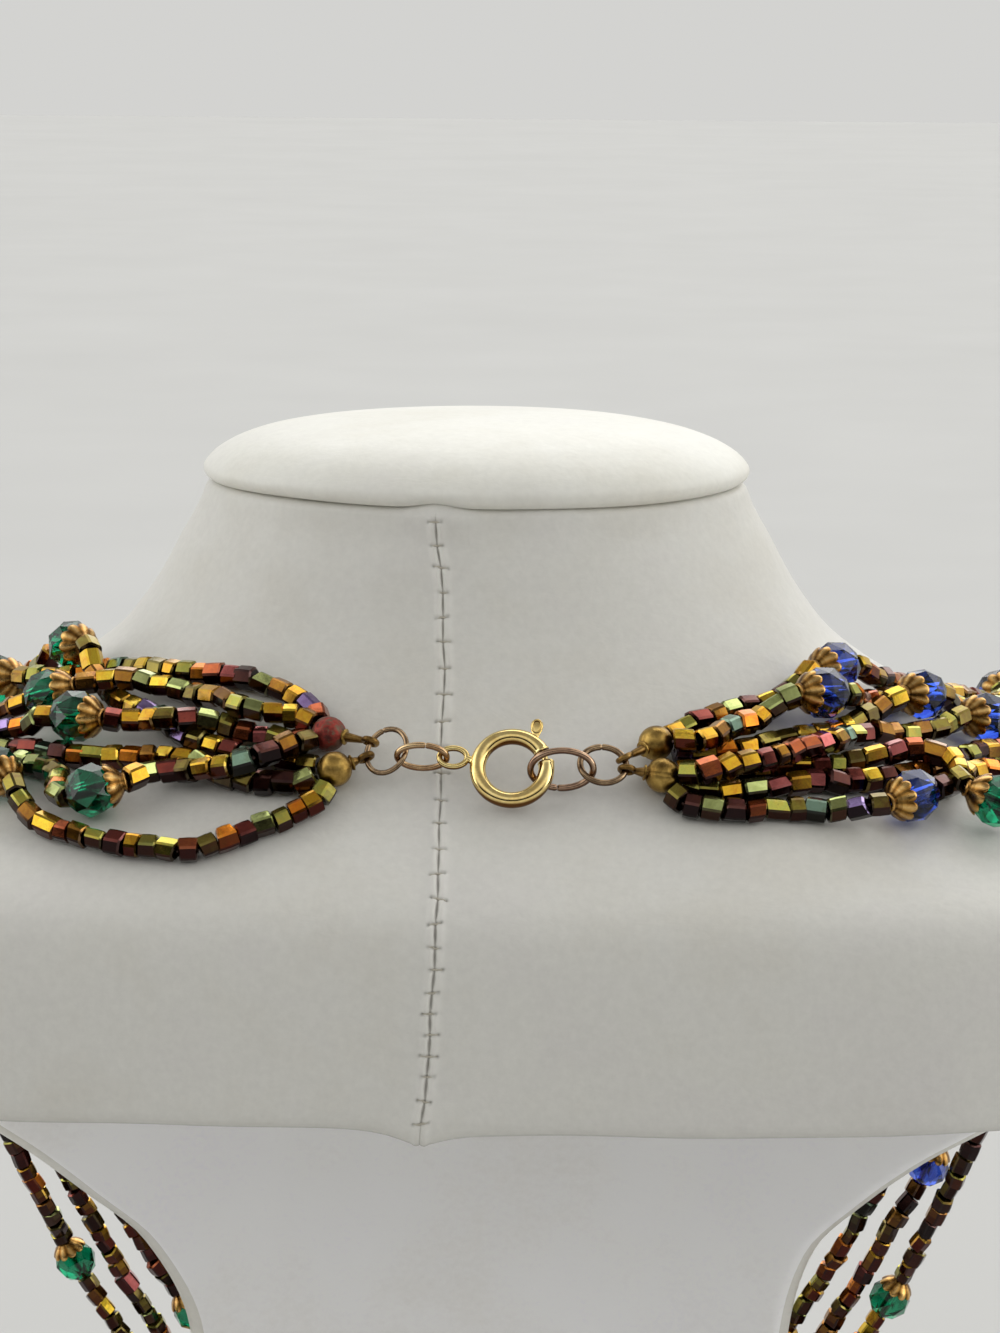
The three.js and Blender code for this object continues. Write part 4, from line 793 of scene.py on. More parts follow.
def shell_points(rows, arcs):
    """Grid of points, rows by arc positions from the seam."""
    out = []
    for h, inset, dz in rows:
        p, s = section(h, inset, dz)
        s0 = float(seam_x(h))
        L = s[-1]
        a = np.array(arcs(L)) + s0
        q = np.stack([np.interp(np.mod(a, L), s, p[:, k]) for k in range(3)], -1)
        if h < RIM_H + RIM_R + 0.01 and inset > 0.001:  # no rounding where the panel carries on
            straight, ss = section(h, 0.03 if inset < RIM_R + 0.01 else WALL, dz)
            q2 = np.stack([np.interp(np.mod(a, L) / L * ss[-1], ss, straight[:, k]) for k in range(3)], -1)
            k = front_share(q)[:, None]
            q = q * (1 - k) + q2 * k
        out.append(q)
    return np.array(out)


def dressed(grid, hs, insets):
    n = normals_of(grid)
    under = (hs > -1.5) & (insets > 2.5)  # flat under the cap
    up = np.where((np.arange(len(hs)) <= OUTER_END_OF[len(hs)]) & ~under, 1.0, 0.0)[:, None]
    H = np.broadcast_to(hs[:, None], grid.shape[:2])
    g = grid + n * ((low_wave(grid) + bulge(grid, H)) * up)[..., None]
    g[..., 2] += drop(grid, H) * up
    return g, n


hs, insets = rows[:, 0], rows[:, 1]
OUTER_END_OF = {len(hs): OUTER_END}
main = shell_points(rows, lambda L: HALF + (L - 2 * HALF) * np.arange(COLS) / (COLS - 1))
main, _ = dressed(main, hs, insets)

# the strip about the seam, six times as fine down the outside
SUB = 6
fine = []
for a, b in zip(rows[: OUTER_END - 2], rows[1: OUTER_END - 1]):
    fine += [a + (b - a) * k / SUB for k in range(SUB)]
fine.append(rows[OUTER_END - 2])
fine = np.array(fine)
u = np.concatenate([np.arange(-4, -2.2, 0.3), np.arange(-2.2, -0.6, 0.12), np.arange(-0.6, 0.6, 0.06), np.arange(0.6, 2.2, 0.12), np.arange(2.2, 4.01, 0.3)])
u[-1] = HALF
OUTER_END_OF[len(fine)] = len(fine)
strip = shell_points(fine, lambda L: u)
strip, _ = dressed(strip, fine[:, 0], fine[:, 1])
sn = normals_of(strip)
run = np.concatenate([[0], np.cumsum(np.linalg.norm(np.diff(strip[:, len(u) // 2], axis=0), axis=1))])
order = np.argsort(-fine[:, 0] + fine[:, 1] * 1e-3, kind="stable")
stitch_run = np.interp(-SEAM[1:-1, 1], -fine[order, 0], run[order])
open_run = float(run[int(np.argmax(fine[:, 0] < -1.6))])  # where the seam comes out from under the cap
U, V = np.meshgrid(u, run)
dist = np.abs(V[..., None] - stitch_run)
near = np.argmin(dist, -1)
dv = V - stitch_run[near]
jit = np.random.default_rng(4)
tilt = jit.normal(0, 0.1, len(stitch_run))
wide = 1.0 + jit.normal(0, 0.13, len(stitch_run))
side_shift = jit.normal(0, 0.1, len(stitch_run))
pulled = jit.uniform(0.25, 1.0, (len(stitch_run), 2))
uu = U - side_shift[near]
dvt = dv - uu * tilt[near]
W = wide[near] * 0.8
inside = 1 / (1 + np.exp((np.abs(uu) - W) / 0.12))
# the two edges stand apart between stitches and are drawn together at each
k = np.clip(np.searchsorted(stitch_run, V) - 1, 0, len(stitch_run) - 2)
t = np.clip((V - stitch_run[k]) / (stitch_run[k + 1] - stitch_run[k]), 0, 1)
apart = np.sin(np.pi * t ** 0.8) ** 0.8
low = np.clip((V - run[-1] * 0.62) / 12, 0, 1)
fade = np.clip((V - open_run) / 1.2, 0, 1) * np.clip((run[-1] - 0.6 - V) / 2.0, 0, 1)
welt = 0.17 * np.exp(-(((np.abs(U) - 0.52) / 0.42) ** 2)) + 0.1 * np.exp(-((U / 1.5) ** 2))
puff = 0.12 * apart * np.exp(-(((np.abs(U) - 0.7) / 0.55) ** 2))
gap_w = 0.07 + (0.05 + 0.05 * low) * apart
line = -(0.09 + 0.2 * apart) * np.exp(-((U / gap_w) ** 2))
cut = -0.24 * np.exp(-((dvt / 0.19) ** 2)) * inside
end_pull = np.where(uu < 0, pulled[near, 0], pulled[near, 1])
holes = -0.25 * end_pull * np.exp(-(((np.abs(uu) - W) ** 2 + dvt ** 2) / 0.17 ** 2))
edge = np.clip((HALF - np.abs(U)) / 0.9, 0, 1)
relief = (welt + puff + line + cut + holes) * fade
strip2 = strip + sn * (relief * edge)[..., None]
# painted shade: darker in the seam's gap between stitches, in each stitch's cut and at the stitch holes
shade = 0.05 + 0.24 * apart ** 1.5 + 0.1 * low * apart
dark = shade * np.exp(-((U / (gap_w * 1.15)) ** 2)) + 0.24 * np.exp(-((dvt / 0.2) ** 2)) * inside
dark = np.clip(dark + 0.4 * end_pull * np.exp(-(((np.abs(uu) - W) ** 2 + dvt ** 2) / 0.2 ** 2)), 0, 0.8) * fade * edge
# painted highlight: paler on the raised welts either side of the seam
pale = 0.4 * np.exp(-(((np.abs(U) - 0.42) / 0.26) ** 2)) * (0.35 + 0.65 * apart) * fade * (1 - dark)

b = Build()
b.add(main.reshape(-1, 3), grid_faces(len(rows), COLS, flip=True))
n_main = len(b.f)
b.add(strip2.reshape(-1, 3), grid_faces(len(fine), len(u), flip=True))
# inside and rim behind the strip, coarse
back_rows = rows[OUTER_END - 2:]
back = shell_points(back_rows, lambda L: np.linspace(-HALF, HALF, 7))
OUTER_END_OF[len(back_rows)] = 2
back, _ = dressed(back, back_rows[:, 0], back_rows[:, 1])
b.add(back.reshape(-1, 3), grid_faces(len(back_rows), 7, flip=True))
v, f = b.done()
n_strip = (len(fine) - 1) * (len(u) - 1)
dq, lq = dark.reshape(-1), pale.reshape(-1)
per_vertex = np.zeros((len(v), 2))
first = len(main.reshape(-1, 3))
# painted shade along the turned edge of the rim
rim_rows, rim_shade = OUTER_END - 8 + np.array([1.4, 2, 3, 4, 5, 6, 7]), np.array([0, 0.08, 0.42, 0.5, 0.35, 0.2, 0])
per_vertex[:first, 0] = (np.interp(np.arange(len(rows)), rim_rows, rim_shade)[:, None] * (1 - front_share(main))).reshape(-1)
dq = np.clip(dq + np.repeat(np.interp(np.arange(len(fine)) / SUB, rim_rows, rim_shade), len(u)), 0, 0.8)
per_vertex[first: first + dq.size, 0] = dq
per_vertex[first: first + dq.size, 1] = lq
bust_skin = put("bust_skin", v, f, M_BODY, replaces=["bust_body"], sharp=60)
# red: painted shade in the seam and along the rim; green: painted highlight on the welts
layer = bust_skin.data.color_attributes.new("painted_shade_highlight", "FLOAT_COLOR", "POINT")
rgba = np.ones((len(v), 4), np.float32)
rgba[:, :2] = per_vertex
rgba[:, 2] = 0
layer.data.foreach_set("color", rgba.ravel())

# stitches: one short thread across the seam each
b = Build()
mid = len(u) // 2
for k, sr in enumerate(stitch_run):
    i = int(np.argmin(np.abs(run - sr)))
    pts = []
    qs = np.linspace(-1, 1, 13)
    for q in qs:
        du = side_shift[k] + q * wide[k] * 0.8
        j = int(np.argmin(np.abs(u - du)))
        ii = int(np.clip(np.argmin(np.abs(run - (sr + tilt[k] * (du - side_shift[k])))), 0, len(run) - 1))
        pts.append(strip[ii, j] + sn[ii, j] * (-0.03 + 0.05 * (1 - q * q) - 0.22 * abs(q) ** 8))
    vv, fc = sweep(pts, 0.145 * (1 - 0.5 * np.abs(qs) ** 3), 8, up=sn[i, mid])
    b.add(vv, fc)
v, f = b.done()
put("seam_stitches", v, f, M_THREAD)

# front panel: one closed loop of points a level, with rounded long edges
b = Build()
loops = []
for h in np.concatenate([[-63.5, -66.5, -69.3], np.arange(-69.6, -230, -1.9), [-231.5, -233.7]]):
    r = SKIN.at(h)
    left, right = (math.degrees(math.asin((min(float(w), r[0] - 0.4) / r[0]) ** (r[4] / 2))) for w in SIDE.at(h))
    sunk = 0.16 if h > RIM_H + 0.5 else 0.0
    phi = np.linspace(180 - right, 180 + left, 1500)
    ring = []
    for inset, count in ((sunk, 84), (WALL - (0.25 if h > RIM_H else 0), 48)):
        p = skin(phi, np.full(1500, h), inset)
        s = np.concatenate([[0], np.cumsum(np.linalg.norm(np.diff(p, axis=0), axis=1))])
        at = np.linspace(RIM_R, s[-1] - RIM_R, count)
        ring.append(np.stack([np.interp(at, s, p[:, k]) for k in range(3)], -1))
    outer, inner = ring
    wave = low_wave(outer)
    tang = unit(np.gradient(outer, axis=0))
    nn = np.stack([-tang[:, 1], tang[:, 0], np.zeros(len(tang))], -1)
    nn *= np.sign((nn * [0, 1, 0]).sum(1).mean())
    outer = outer + nn * wave[:, None]
    loop = [outer]
    for o, i, t in ((outer[-1], inner[-1], tang[-1]), (outer[0], inner[0], -tang[0])):
        m, d = (o + i) / 2, (o - i) / 2
        q = [m + math.cos(a) * d + math.sin(a) * t * RIM_R * 0.95 for a in np.linspace(0, math.pi, 9)[1:-1]]
        if t is tang[-1] or np.allclose(t, tang[-1]):
            loop += [np.array(q), inner[::-1]]
        else:
            loop += [np.array(q[::-1])]
    loops.append(np.concatenate(loop))
loops = np.array(loops)
cols = loops.shape[1]
b.add(loops.reshape(-1, 3), grid_faces(len(loops), cols, wrap=True, flip=False))
# its cut bottom stands just over the foot board
bottom = (len(loops) - 1) * cols
b.add([], [])
b.f.append([bottom + i for i in range(cols)])
v, f = b.done()
col_of = np.array([i % cols for i in range(len(f) - 1)] + [0])
inside_face = (col_of > 89) & (col_of < 140)
put("bust_front_panel", v, f, [M_PANEL, M_LINING], sharp=60, face_mat=inside_face.astype(int))

# padded cap
zk = np.array(CAP)
t = np.concatenate([[0], np.cumsum(np.hypot(np.diff(zk[:, 0]), np.diff(zk[:, 1]) * 36))])
tt = np.concatenate([np.linspace(0, t[3], 14), np.linspace(t[3], t[-1], 34)[1:]])


def smooth_through(x, xs, ys):
    m = np.gradient(ys, xs)
    i = np.clip(np.searchsorted(xs, x, side="right") - 1, 0, len(xs) - 2)
    d = xs[i + 1] - xs[i]
    q = (x - xs[i]) / d
    return (2 * q**3 - 3 * q**2 + 1) * ys[i] + (q**3 - 2 * q**2 + q) * d * m[i] + (-2 * q**3 + 3 * q**2) * ys[i + 1] + (q**3 - q**2) * d * m[i + 1]


zz, kk = smooth_through(tt, t, zk[:, 0]), smooth_through(tt, t, zk[:, 1])
zz = np.concatenate([[-0.74, -0.78], zz, [7.43, 7.44]])
kk = np.concatenate([[0.6, 0.9], kk, [0.1, 0.03]])
p, s = section(0, 0)
arc = np.linspace(0, s[-1], 289)[:-1]
rim = np.stack([np.interp(arc, s, p[:, k]) for k in range(2)], -1)
verts = []
for z, k in zip(zz, kk):
    q = np.concatenate([rim * k, np.full((len(rim), 1), z)], 1)
    low = math.exp(-(((z + 0.8) / 1.6) ** 2))
    back = np.clip(-q[:, 1] / 10, 0, 1)
    q[:, 2] += back * low * crease_lift(q[:, 0])
    q[:, 2] += 0.05 * np.sin(q[:, 0] / 8.0) * np.sin(q[:, 1] / 7.0)
    verts.append(q)
verts = np.array(verts)
b = Build()
b.add(verts.reshape(-1, 3), grid_faces(len(zz), len(rim), wrap=True))
e = (len(zz) - 1) * len(rim)
b.f.append([e + i for i in range(len(rim))])
b.f.append([i for i in range(len(rim))][::-1])
v, f = b.done()
put("bust_cap_cover", v, f, M_CAP, replaces=["bust_cap"], sharp=70)

# foot board with softened edges
q = 2 * np.pi * (np.arange(160) + 0.5) / 160
s_, c_ = np.sin(q), np.cos(q)
verts = []
prof = [(0, -1.6)] + [(1.2 - 1.2 * math.cos(a), -1.2 + 1.2 * math.sin(a)) for a in np.linspace(0.2, math.pi / 2, 6)] + [(FOOT_T - 1.2 + 1.2 * math.sin(a), -1.2 + 1.2 * math.cos(a)) for a in np.linspace(0, math.pi / 2, 7)] + [(FOOT_T, -6)]
for z, g in prof:
    x = (FOOT_W + g) * np.sign(s_) * np.abs(s_) ** 0.5
    y = FOOT_Y - (FOOT_D + g) * np.sign(c_) * np.abs(c_) ** 0.5
    verts.append(np.stack([x, y, np.full(160, z - SEAM_Z)], -1))
b = Build()
b.add(np.array(verts).reshape(-1, 3), grid_faces(len(prof), 160, wrap=True))
b.f.append([(len(prof) - 1) * 160 + i for i in range(160)])
b.f.append(list(range(160))[::-1])
v, f = b.done()
put("bust_foot_board", v, f, M_FOOT, replaces=["bust_foot"], sharp=60)


# ---------------------------------------------------------------- fastening
def ellipse_points(centre, f, a, b, start, end, count):
    n, e1, e2 = f
    q = np.radians(np.linspace(start, end, count))
    return centre + a * np.cos(q)[:, None] * e1 + b * np.sin(q)[:, None] * e2, unit(-a * np.sin(q)[:, None] * e1 + b * np.cos(q)[:, None] * e2)


def rounded(count, r, ends=3):
    """Radii that round off both ends of a wire."""
    out = np.full(count, r, float)
    for k in range(ends):
        s = math.sqrt(1 - (1 - (k + 0.35) / ends) ** 2)
        out[k] *= s
        out[-1 - k] *= s
    return out


for name, (phi, h, lift, a, bb, wire, up, turn) in RINGS.items():
    c, f = on_skin(phi, h, lift), ring_frame(up, turn)
    gap = {"jump_left": 118, "oval_left": 80, "link_right_1": 262, "link_right_2": 88}[name]
    pts, dirs = ellipse_points(c, f, a, bb, gap + 0.4, gap + 359.6, 110)
    wob = 1 + 0.02 * np.sin(np.linspace(0, 9, 110)) + 0.015 * np.sin(np.linspace(0, 31, 110))
    v, fc = sweep(pts, rounded(110, wire * {"jump_left": 1.04, "oval_left": 1.08, "link_right_1": 1.22, "link_right_2": 1.18}[name], 1) * wob, 14, dirs, up=f[0])
    mat = {"jump_left": M_BRONZE, "oval_left": M_ROSE, "link_right_1": M_TAUPE, "link_right_2": M_BRONZE}[name]
    put("ring_" + name, v, fc, mat, replaces=[name], sharp=50)

tip_balls = {}
for k, (name, (bp, bh, bl, lp, lh, ll)) in enumerate(TIPS.items()):
    ball, loop = on_skin(bp, bh, bl), on_skin(lp, lh, ll)
    tip_balls[name] = ball
    d = unit(loop - ball)
    base = np.array([0, 0.588, 0.809])
    n = unit(base - d * np.dot(base, d))
    f = (n, d, np.cross(n, d))
    R, wire = 0.85, 0.31
    ph = [0.4, 2.1, 3.3, 5.0][k]
    hinge = f[2]

    def shape(a, q, ph=ph):
        dent = 1 + 0.012 * math.sin(3 * q + ph) * math.sin(2 * a + ph) - 0.03 * math.exp(-(((a - 1.2) / 0.35) ** 2 + ((q - ph) / 0.5) ** 2))
        seam = 1 - 0.035 * math.exp(-((math.cos(q - ph) * math.sin(a) / 0.035) ** 2)) * (math.sin(a) ** 0.5)
        return dent * seam * 0.985

    b = Build()
    b.add(*ball_rows(ball, d, BALL_R, 64, 34, shape), mat=1 if name == "tip_lu" else 0)
    reach = float(np.linalg.norm(loop - ball)) - R
    steps = np.linspace(BALL_R - 0.35, reach + 0.12, 14)
    neck = np.interp(steps, [BALL_R - 0.35, BALL_R + 0.25, reach - 0.1, reach + 0.12], [0.98, 0.74, 0.46, 0.38])
    b.add(*sweep([ball + d * q for q in steps], neck, 16, up=n, squash=(0.8, 1.0)), mat=2)
    # collar where the cup is crimped about the neck
    b.add(*sweep([ball + d * (BALL_R - 0.12 + q) for q in (0, 0.1, 0.25, 0.35)], [0.8, 0.98, 0.98, 0.78], 24, up=n))
    q = np.radians(np.linspace(188, 188 + 340, 60))
    pts = loop + R * np.cos(q)[:, None] * f[1] + R * np.sin(q)[:, None] * f[2]
    dirs = unit(-np.sin(q)[:, None] * f[1] + np.cos(q)[:, None] * f[2])
    b.add(*sweep(pts, rounded(60, wire, 2), 12, dirs, up=n, squash=(1.2, 0.95)), mat=2)
    v, fc = b.done()
    put(name + "_cup", v, fc, [M_OLDBRASS, M_COPPER, M_LOOP],
        replaces=[name], sharp=55, face_mat=b.m)

C, CF = on_skin(*CLASP[:3]), ring_frame(CLASP[3], 0)
cn, c1, c2 = CF


def ring_at(deg, r, n=0.0):
    q = np.radians(np.asarray(deg, float))[..., None]
    return C + r * np.cos(q) * c1 + r * np.sin(q) * c2 + n * cn


# spring ring: a thin tube open from 12 to 31 degrees, slotted outside for the thumb tab
TUBE, BORE = 0.96, 0.7
b = Build()
slot_half = math.degrees(math.asin(0.42 / RING_TUBE))
angles = np.concatenate([np.linspace(30.8, 43, 12), np.linspace(43, 92.5, 30)[1:], np.linspace(92.5, 372, 144)[1:]])
thetas = np.concatenate([np.linspace(-slot_half, slot_half, 7), np.linspace(slot_half, 360 - slot_half, 30)[1:-1]])


def tube_point(a, t, r):
    a, t = math.radians(a), math.radians(t)
    out = math.cos(a) * c1 + math.sin(a) * c2
    return C + out * (RING_R + r * math.cos(t)) + cn * r * math.sin(t)


def lip(a):
    """The tube swells into a small collar at both of its mouths."""
    return 1 + 0.07 * (math.exp(-(((a - 32.4) / 1.6) ** 2)) + math.exp(-(((a - 370.4) / 1.6) ** 2)))


nt = len(thetas)
outer = [tube_point(a, t, TUBE * lip(a)) for a in angles for t in thetas]
faces = []
for i in range(len(angles) - 1):
    for j in range(nt):
        slotted = 42.9 < angles[i] and angles[i + 1] < 92.6 and j < 6
        if not slotted:
            jj = (j + 1) % nt
            faces.append([i * nt + j, i * nt + jj, (i + 1) * nt + jj, (i + 1) * nt + j])
b.add(outer, faces)
# bore of the tube, seen through the mouths and the slot
inner_a = [a for a in angles if a <= 96.5] + [97.0]
inner = [tube_point(a, t, BORE) for a in inner_a for t in thetas]
faces = []
for i in range(len(inner_a) - 1):
    for j in range(nt):
        if 42.9 < inner_a[i] and inner_a[i + 1] < 92.6 and j < 6:
            continue
        jj = (j + 1) % nt
        faces.append([i * nt + j, (i + 1) * nt + j, (i + 1) * nt + jj, i * nt + jj])
faces.append([(len(inner_a) - 1) * nt + j for j in range(nt)])
b.add(inner, faces)
# mouths
for a, sgn in ((30.8, 1), (372, -1)):
    ro = [tube_point(a, t, TUBE * lip(a)) for t in thetas]
    ri = [tube_point(a, t, BORE) for t in thetas]
    fc = [[j, (j + 1) % nt, nt + (j + 1) % nt, nt + j] for j in range(nt)]
    b.add(ro + ri, fc if sgn < 0 else [q[::-1] for q in fc])
inner2 = [tube_point(a, t, BORE) for a in (372, 366, 362) for t in thetas]
fc = [[i * nt + j, i * nt + (j + 1) % nt, (i + 1) * nt + (j + 1) % nt, (i + 1) * nt + j] for i in range(2) for j in range(nt)]
fc.append([2 * nt + j for j in range(nt)][::-1])
b.add(inner2, fc)
# walls of the slot
sa = [a for a in angles if 42.9 < a < 92.6]
for t in (-slot_half, slot_half):
    wv, wf = [], []
    for a in sa:
        wv += [tube_point(a, t, TUBE), tube_point(a, t, BORE)]
    for i in range(len(sa) - 1):
        wf.append([2 * i, 2 * i + 1, 2 * i + 3, 2 * i + 2])
    b.add(wv, wf if t > 0 else [q[::-1] for q in wf])
for a, sgn in ((sa[0], 1), (sa[-1], -1)):
    ts = thetas[:7]
    wv = [tube_point(a, t, TUBE) for t in ts] + [tube_point(a, t, BORE) for t in ts]
    wf = [[j, j + 1, 7 + j + 1, 7 + j] for j in range(6)]
    b.add(wv, wf if sgn < 0 else [q[::-1] for q in wf])
# eye and neck
eye = C - c1 * (RING_R + RING_TUBE + 2.05) + c2 * 1.3
q = np.radians(np.linspace(0, 360, 73)[:-1])
pts = eye + 1.65 * np.cos(q)[:, None] * c1 + 1.2 * np.sin(q)[:, None] * c2
dirs = unit(-1.65 * np.sin(q)[:, None] * c1 + 1.2 * np.cos(q)[:, None] * c2)
b.add(*sweep(pts, 0.37, 14, dirs, up=cn, close=True))
p0, p1 = eye + c1 * 1.5, C - c1 * (RING_R + 0.45) + c2 * 0.8
ks = np.linspace(0, 1, 12)
b.add(*sweep([p0 + (p1 - p0) * k for k in ks], np.interp(ks, [0, 0.35, 0.7, 1], [0.36, 0.42, 0.5, 0.74]), 16, up=cn))
v, fc = b.done()
put("clasp_spring_ring", v, fc, M_BRIGHT, replaces=["clasp_ring"], sharp=45)

# the sliding lever: wire in the tube, and its thumb tab
b = Build()
q = np.linspace(5.5, 62, 40)
pts = ring_at(q, RING_R)
dirs = unit(np.gradient(pts, axis=0))
b.add(*sweep(pts, rounded(40, 0.4, 4), 14, dirs, up=cn))
pa, pb, pc = ring_at(53.5, RING_R), ring_at(58, RING_R + 1.1), ring_at(64.5, RING_R + 2.6)
line = [pa, pa + (pb - pa) * 0.5, pb, pb + (pc - pb) * 0.35, pb + (pc - pb) * 0.7, pc, pc + unit(pc - pb) * 0.22]
line = np.array(line)
b.add(*sweep(line, [0.34, 0.34, 0.44, 0.7, 0.78, 0.68, 0.2], 20, up=cn, squash=(0.4, 1.0)))
# raised rim round the tab's dished end
m, ax = pb + (pc - pb) * 0.62, unit(pc - pb)
sd = np.cross(cn, ax)
q = np.radians(np.linspace(0, 360, 29)[:-1])
for s in (1, -1):
    pts = m + s * cn * 0.26 + 0.8 * np.cos(q)[:, None] * ax + 0.6 * np.sin(q)[:, None] * sd
    dirs = unit(-0.8 * np.sin(q)[:, None] * ax + 0.6 * np.cos(q)[:, None] * sd)
    b.add(*sweep(pts, 0.13, 10, dirs, up=cn, close=True))
v, fc = b.done()
put("clasp_thumb_lever", v, fc, M_BRIGHT, body=LEVER, replaces=["clasp_gate"], sharp=50)

# ---------------------------------------------------------------- beads
PAINT = {  # lit facet with painted light, facet facing down with painted shade, thin-film drift
    "gold": ((236, 186, 44), (104, 40, 14), (206, 136, 34)),
    "yellow": ((242, 206, 60), (116, 54, 14), (222, 158, 40)),
    "lime": ((186, 186, 84), (84, 50, 24), (206, 180, 72)),
    "pale_lime": ((196, 206, 130), (84, 66, 46), (160, 170, 96)),
    "olive": ((150, 136, 54), (70, 34, 18), (122, 92, 36)),
    "orange": ((246, 152, 34), (118, 44, 12), (226, 112, 30)),
    "copper": ((196, 104, 52), (88, 32, 18), (160, 76, 50)),
    "pink": ((208, 114, 110), (92, 32, 34), (176, 88, 84)),
    "red_brown": ((150, 66, 52), (62, 20, 18), (112, 46, 40)),
    "purple": ((128, 80, 112), (52, 20, 38), (104, 56, 78)),
    "lavender": ((168, 144, 200), (52, 32, 58), (124, 96, 150)),
    "teal": ((134, 164, 142), (44, 54, 46), (110, 124, 96)),
    "gold_brown": ((186, 132, 42), (84, 42, 14), (150, 92, 34)),
    "dark": ((96, 50, 38), (44, 14, 14), (70, 32, 34)),
}
NAMES = list(PAINT)
PAINT_LIN = {k: [lin(c) for c in v] for k, v in PAINT.items()}
#          gold yel lime pale olive oran copp pink redb purp lav teal gbr dark
LEFT_MIX = [16, 8, 13, 7, 16, 7, 5, 1.2, 6, 2.2, 1.6, 3.5, 13, 5]
RIGHT_MIX = [19, 11, 10, 5, 13, 6, 5, 2.5, 3, 3, 1.2, 4, 13, 5]
STRAND_TILT = {  # strands that run darker or redder than the rest
    "strand_1": {"dark": 3.0, "red_brown": 2.4, "purple": 2.0, "copper": 1.6},
    "strand_5": {"dark": 3.0, "red_brown": 2.0, "purple": 1.6, "orange": 1.4},
    "strand_7": {"olive": 1.5, "gold_brown": 1.5, "gold": 1.2},
    "strand_2": {"lime": 1.3, "pale_lime": 1.3, "orange": 1.3},
    "strand_3": {"lime": 1.2, "yellow": 1.3, "pink": 1.5},
    "strand_4": {"purple": 1.5, "lime": 1.3, "red_brown": 1.3},
    "strand_6": {"orange": 1.4, "yellow": 1.3, "lavender": 1.5},
}

# hexagonal cut bead: two points a corner, so each edge is a narrow bevel
ring_q = np.radians([60 * k + s for k in range(6) for s in (-6.5, 6.5)])
ring_r = math.cos(math.pi / 6) / math.cos(math.radians(30 - 6.5))
PROFILE = [(-0.40, 0.26), (-0.49, 0.32), (-0.5, 0.80), (-0.425, 0.985), (0.0, 1.015), (0.425, 0.985), (0.5, 0.80), (0.49, 0.32), (0.40, 0.26)]
TPL = np.array([[z, r * ring_r * math.cos(q), r * ring_r * math.sin(q)] for z, r in PROFILE for q in ring_q])
TPL_R = np.array([r for _, r in PROFILE for _ in ring_q])
TF = grid_faces(len(PROFILE), 12, wrap=True, flip=True)
TF_KIND = np.array([(0 if row in (3, 4) else 1 if row in (2, 5) else 2) for row in range(len(PROFILE) - 1) for _ in range(12)])
TF_EDGE = np.array([(k % 2 == 0) for _ in range(len(PROFILE) - 1) for k in range(12)])
TF_SIDE = np.array([k // 2 for _ in range(len(PROFILE) - 1) for k in range(12)])


def along(points):
    s = np.concatenate([[0], np.cumsum(np.linalg.norm(np.diff(points, axis=0), axis=1))])
    return s, lambda q: np.stack([np.interp(q, s, points[:, k]) for k in range(3)], -1)


def basis(axis):
    t = unit(axis)
    u = unit(np.cross(t, [0, 0, 1.0] if abs(t[2]) < 0.9 else [1.0, 0, 0]))
    return t, u, np.cross(t, u)


def faced_out(verts, faces):
    """Closed solid's faces with their fronts outward."""
    p = np.asarray(verts, float)
    p = p - p.mean(0)
    six = 0.0
    for f in faces:
        for k in range(1, len(f) - 1):
            six += float(np.dot(p[f[0]], np.cross(p[f[k]], p[f[k + 1]])))
    return faces if six > 0 else [list(f)[::-1] for f in faces]


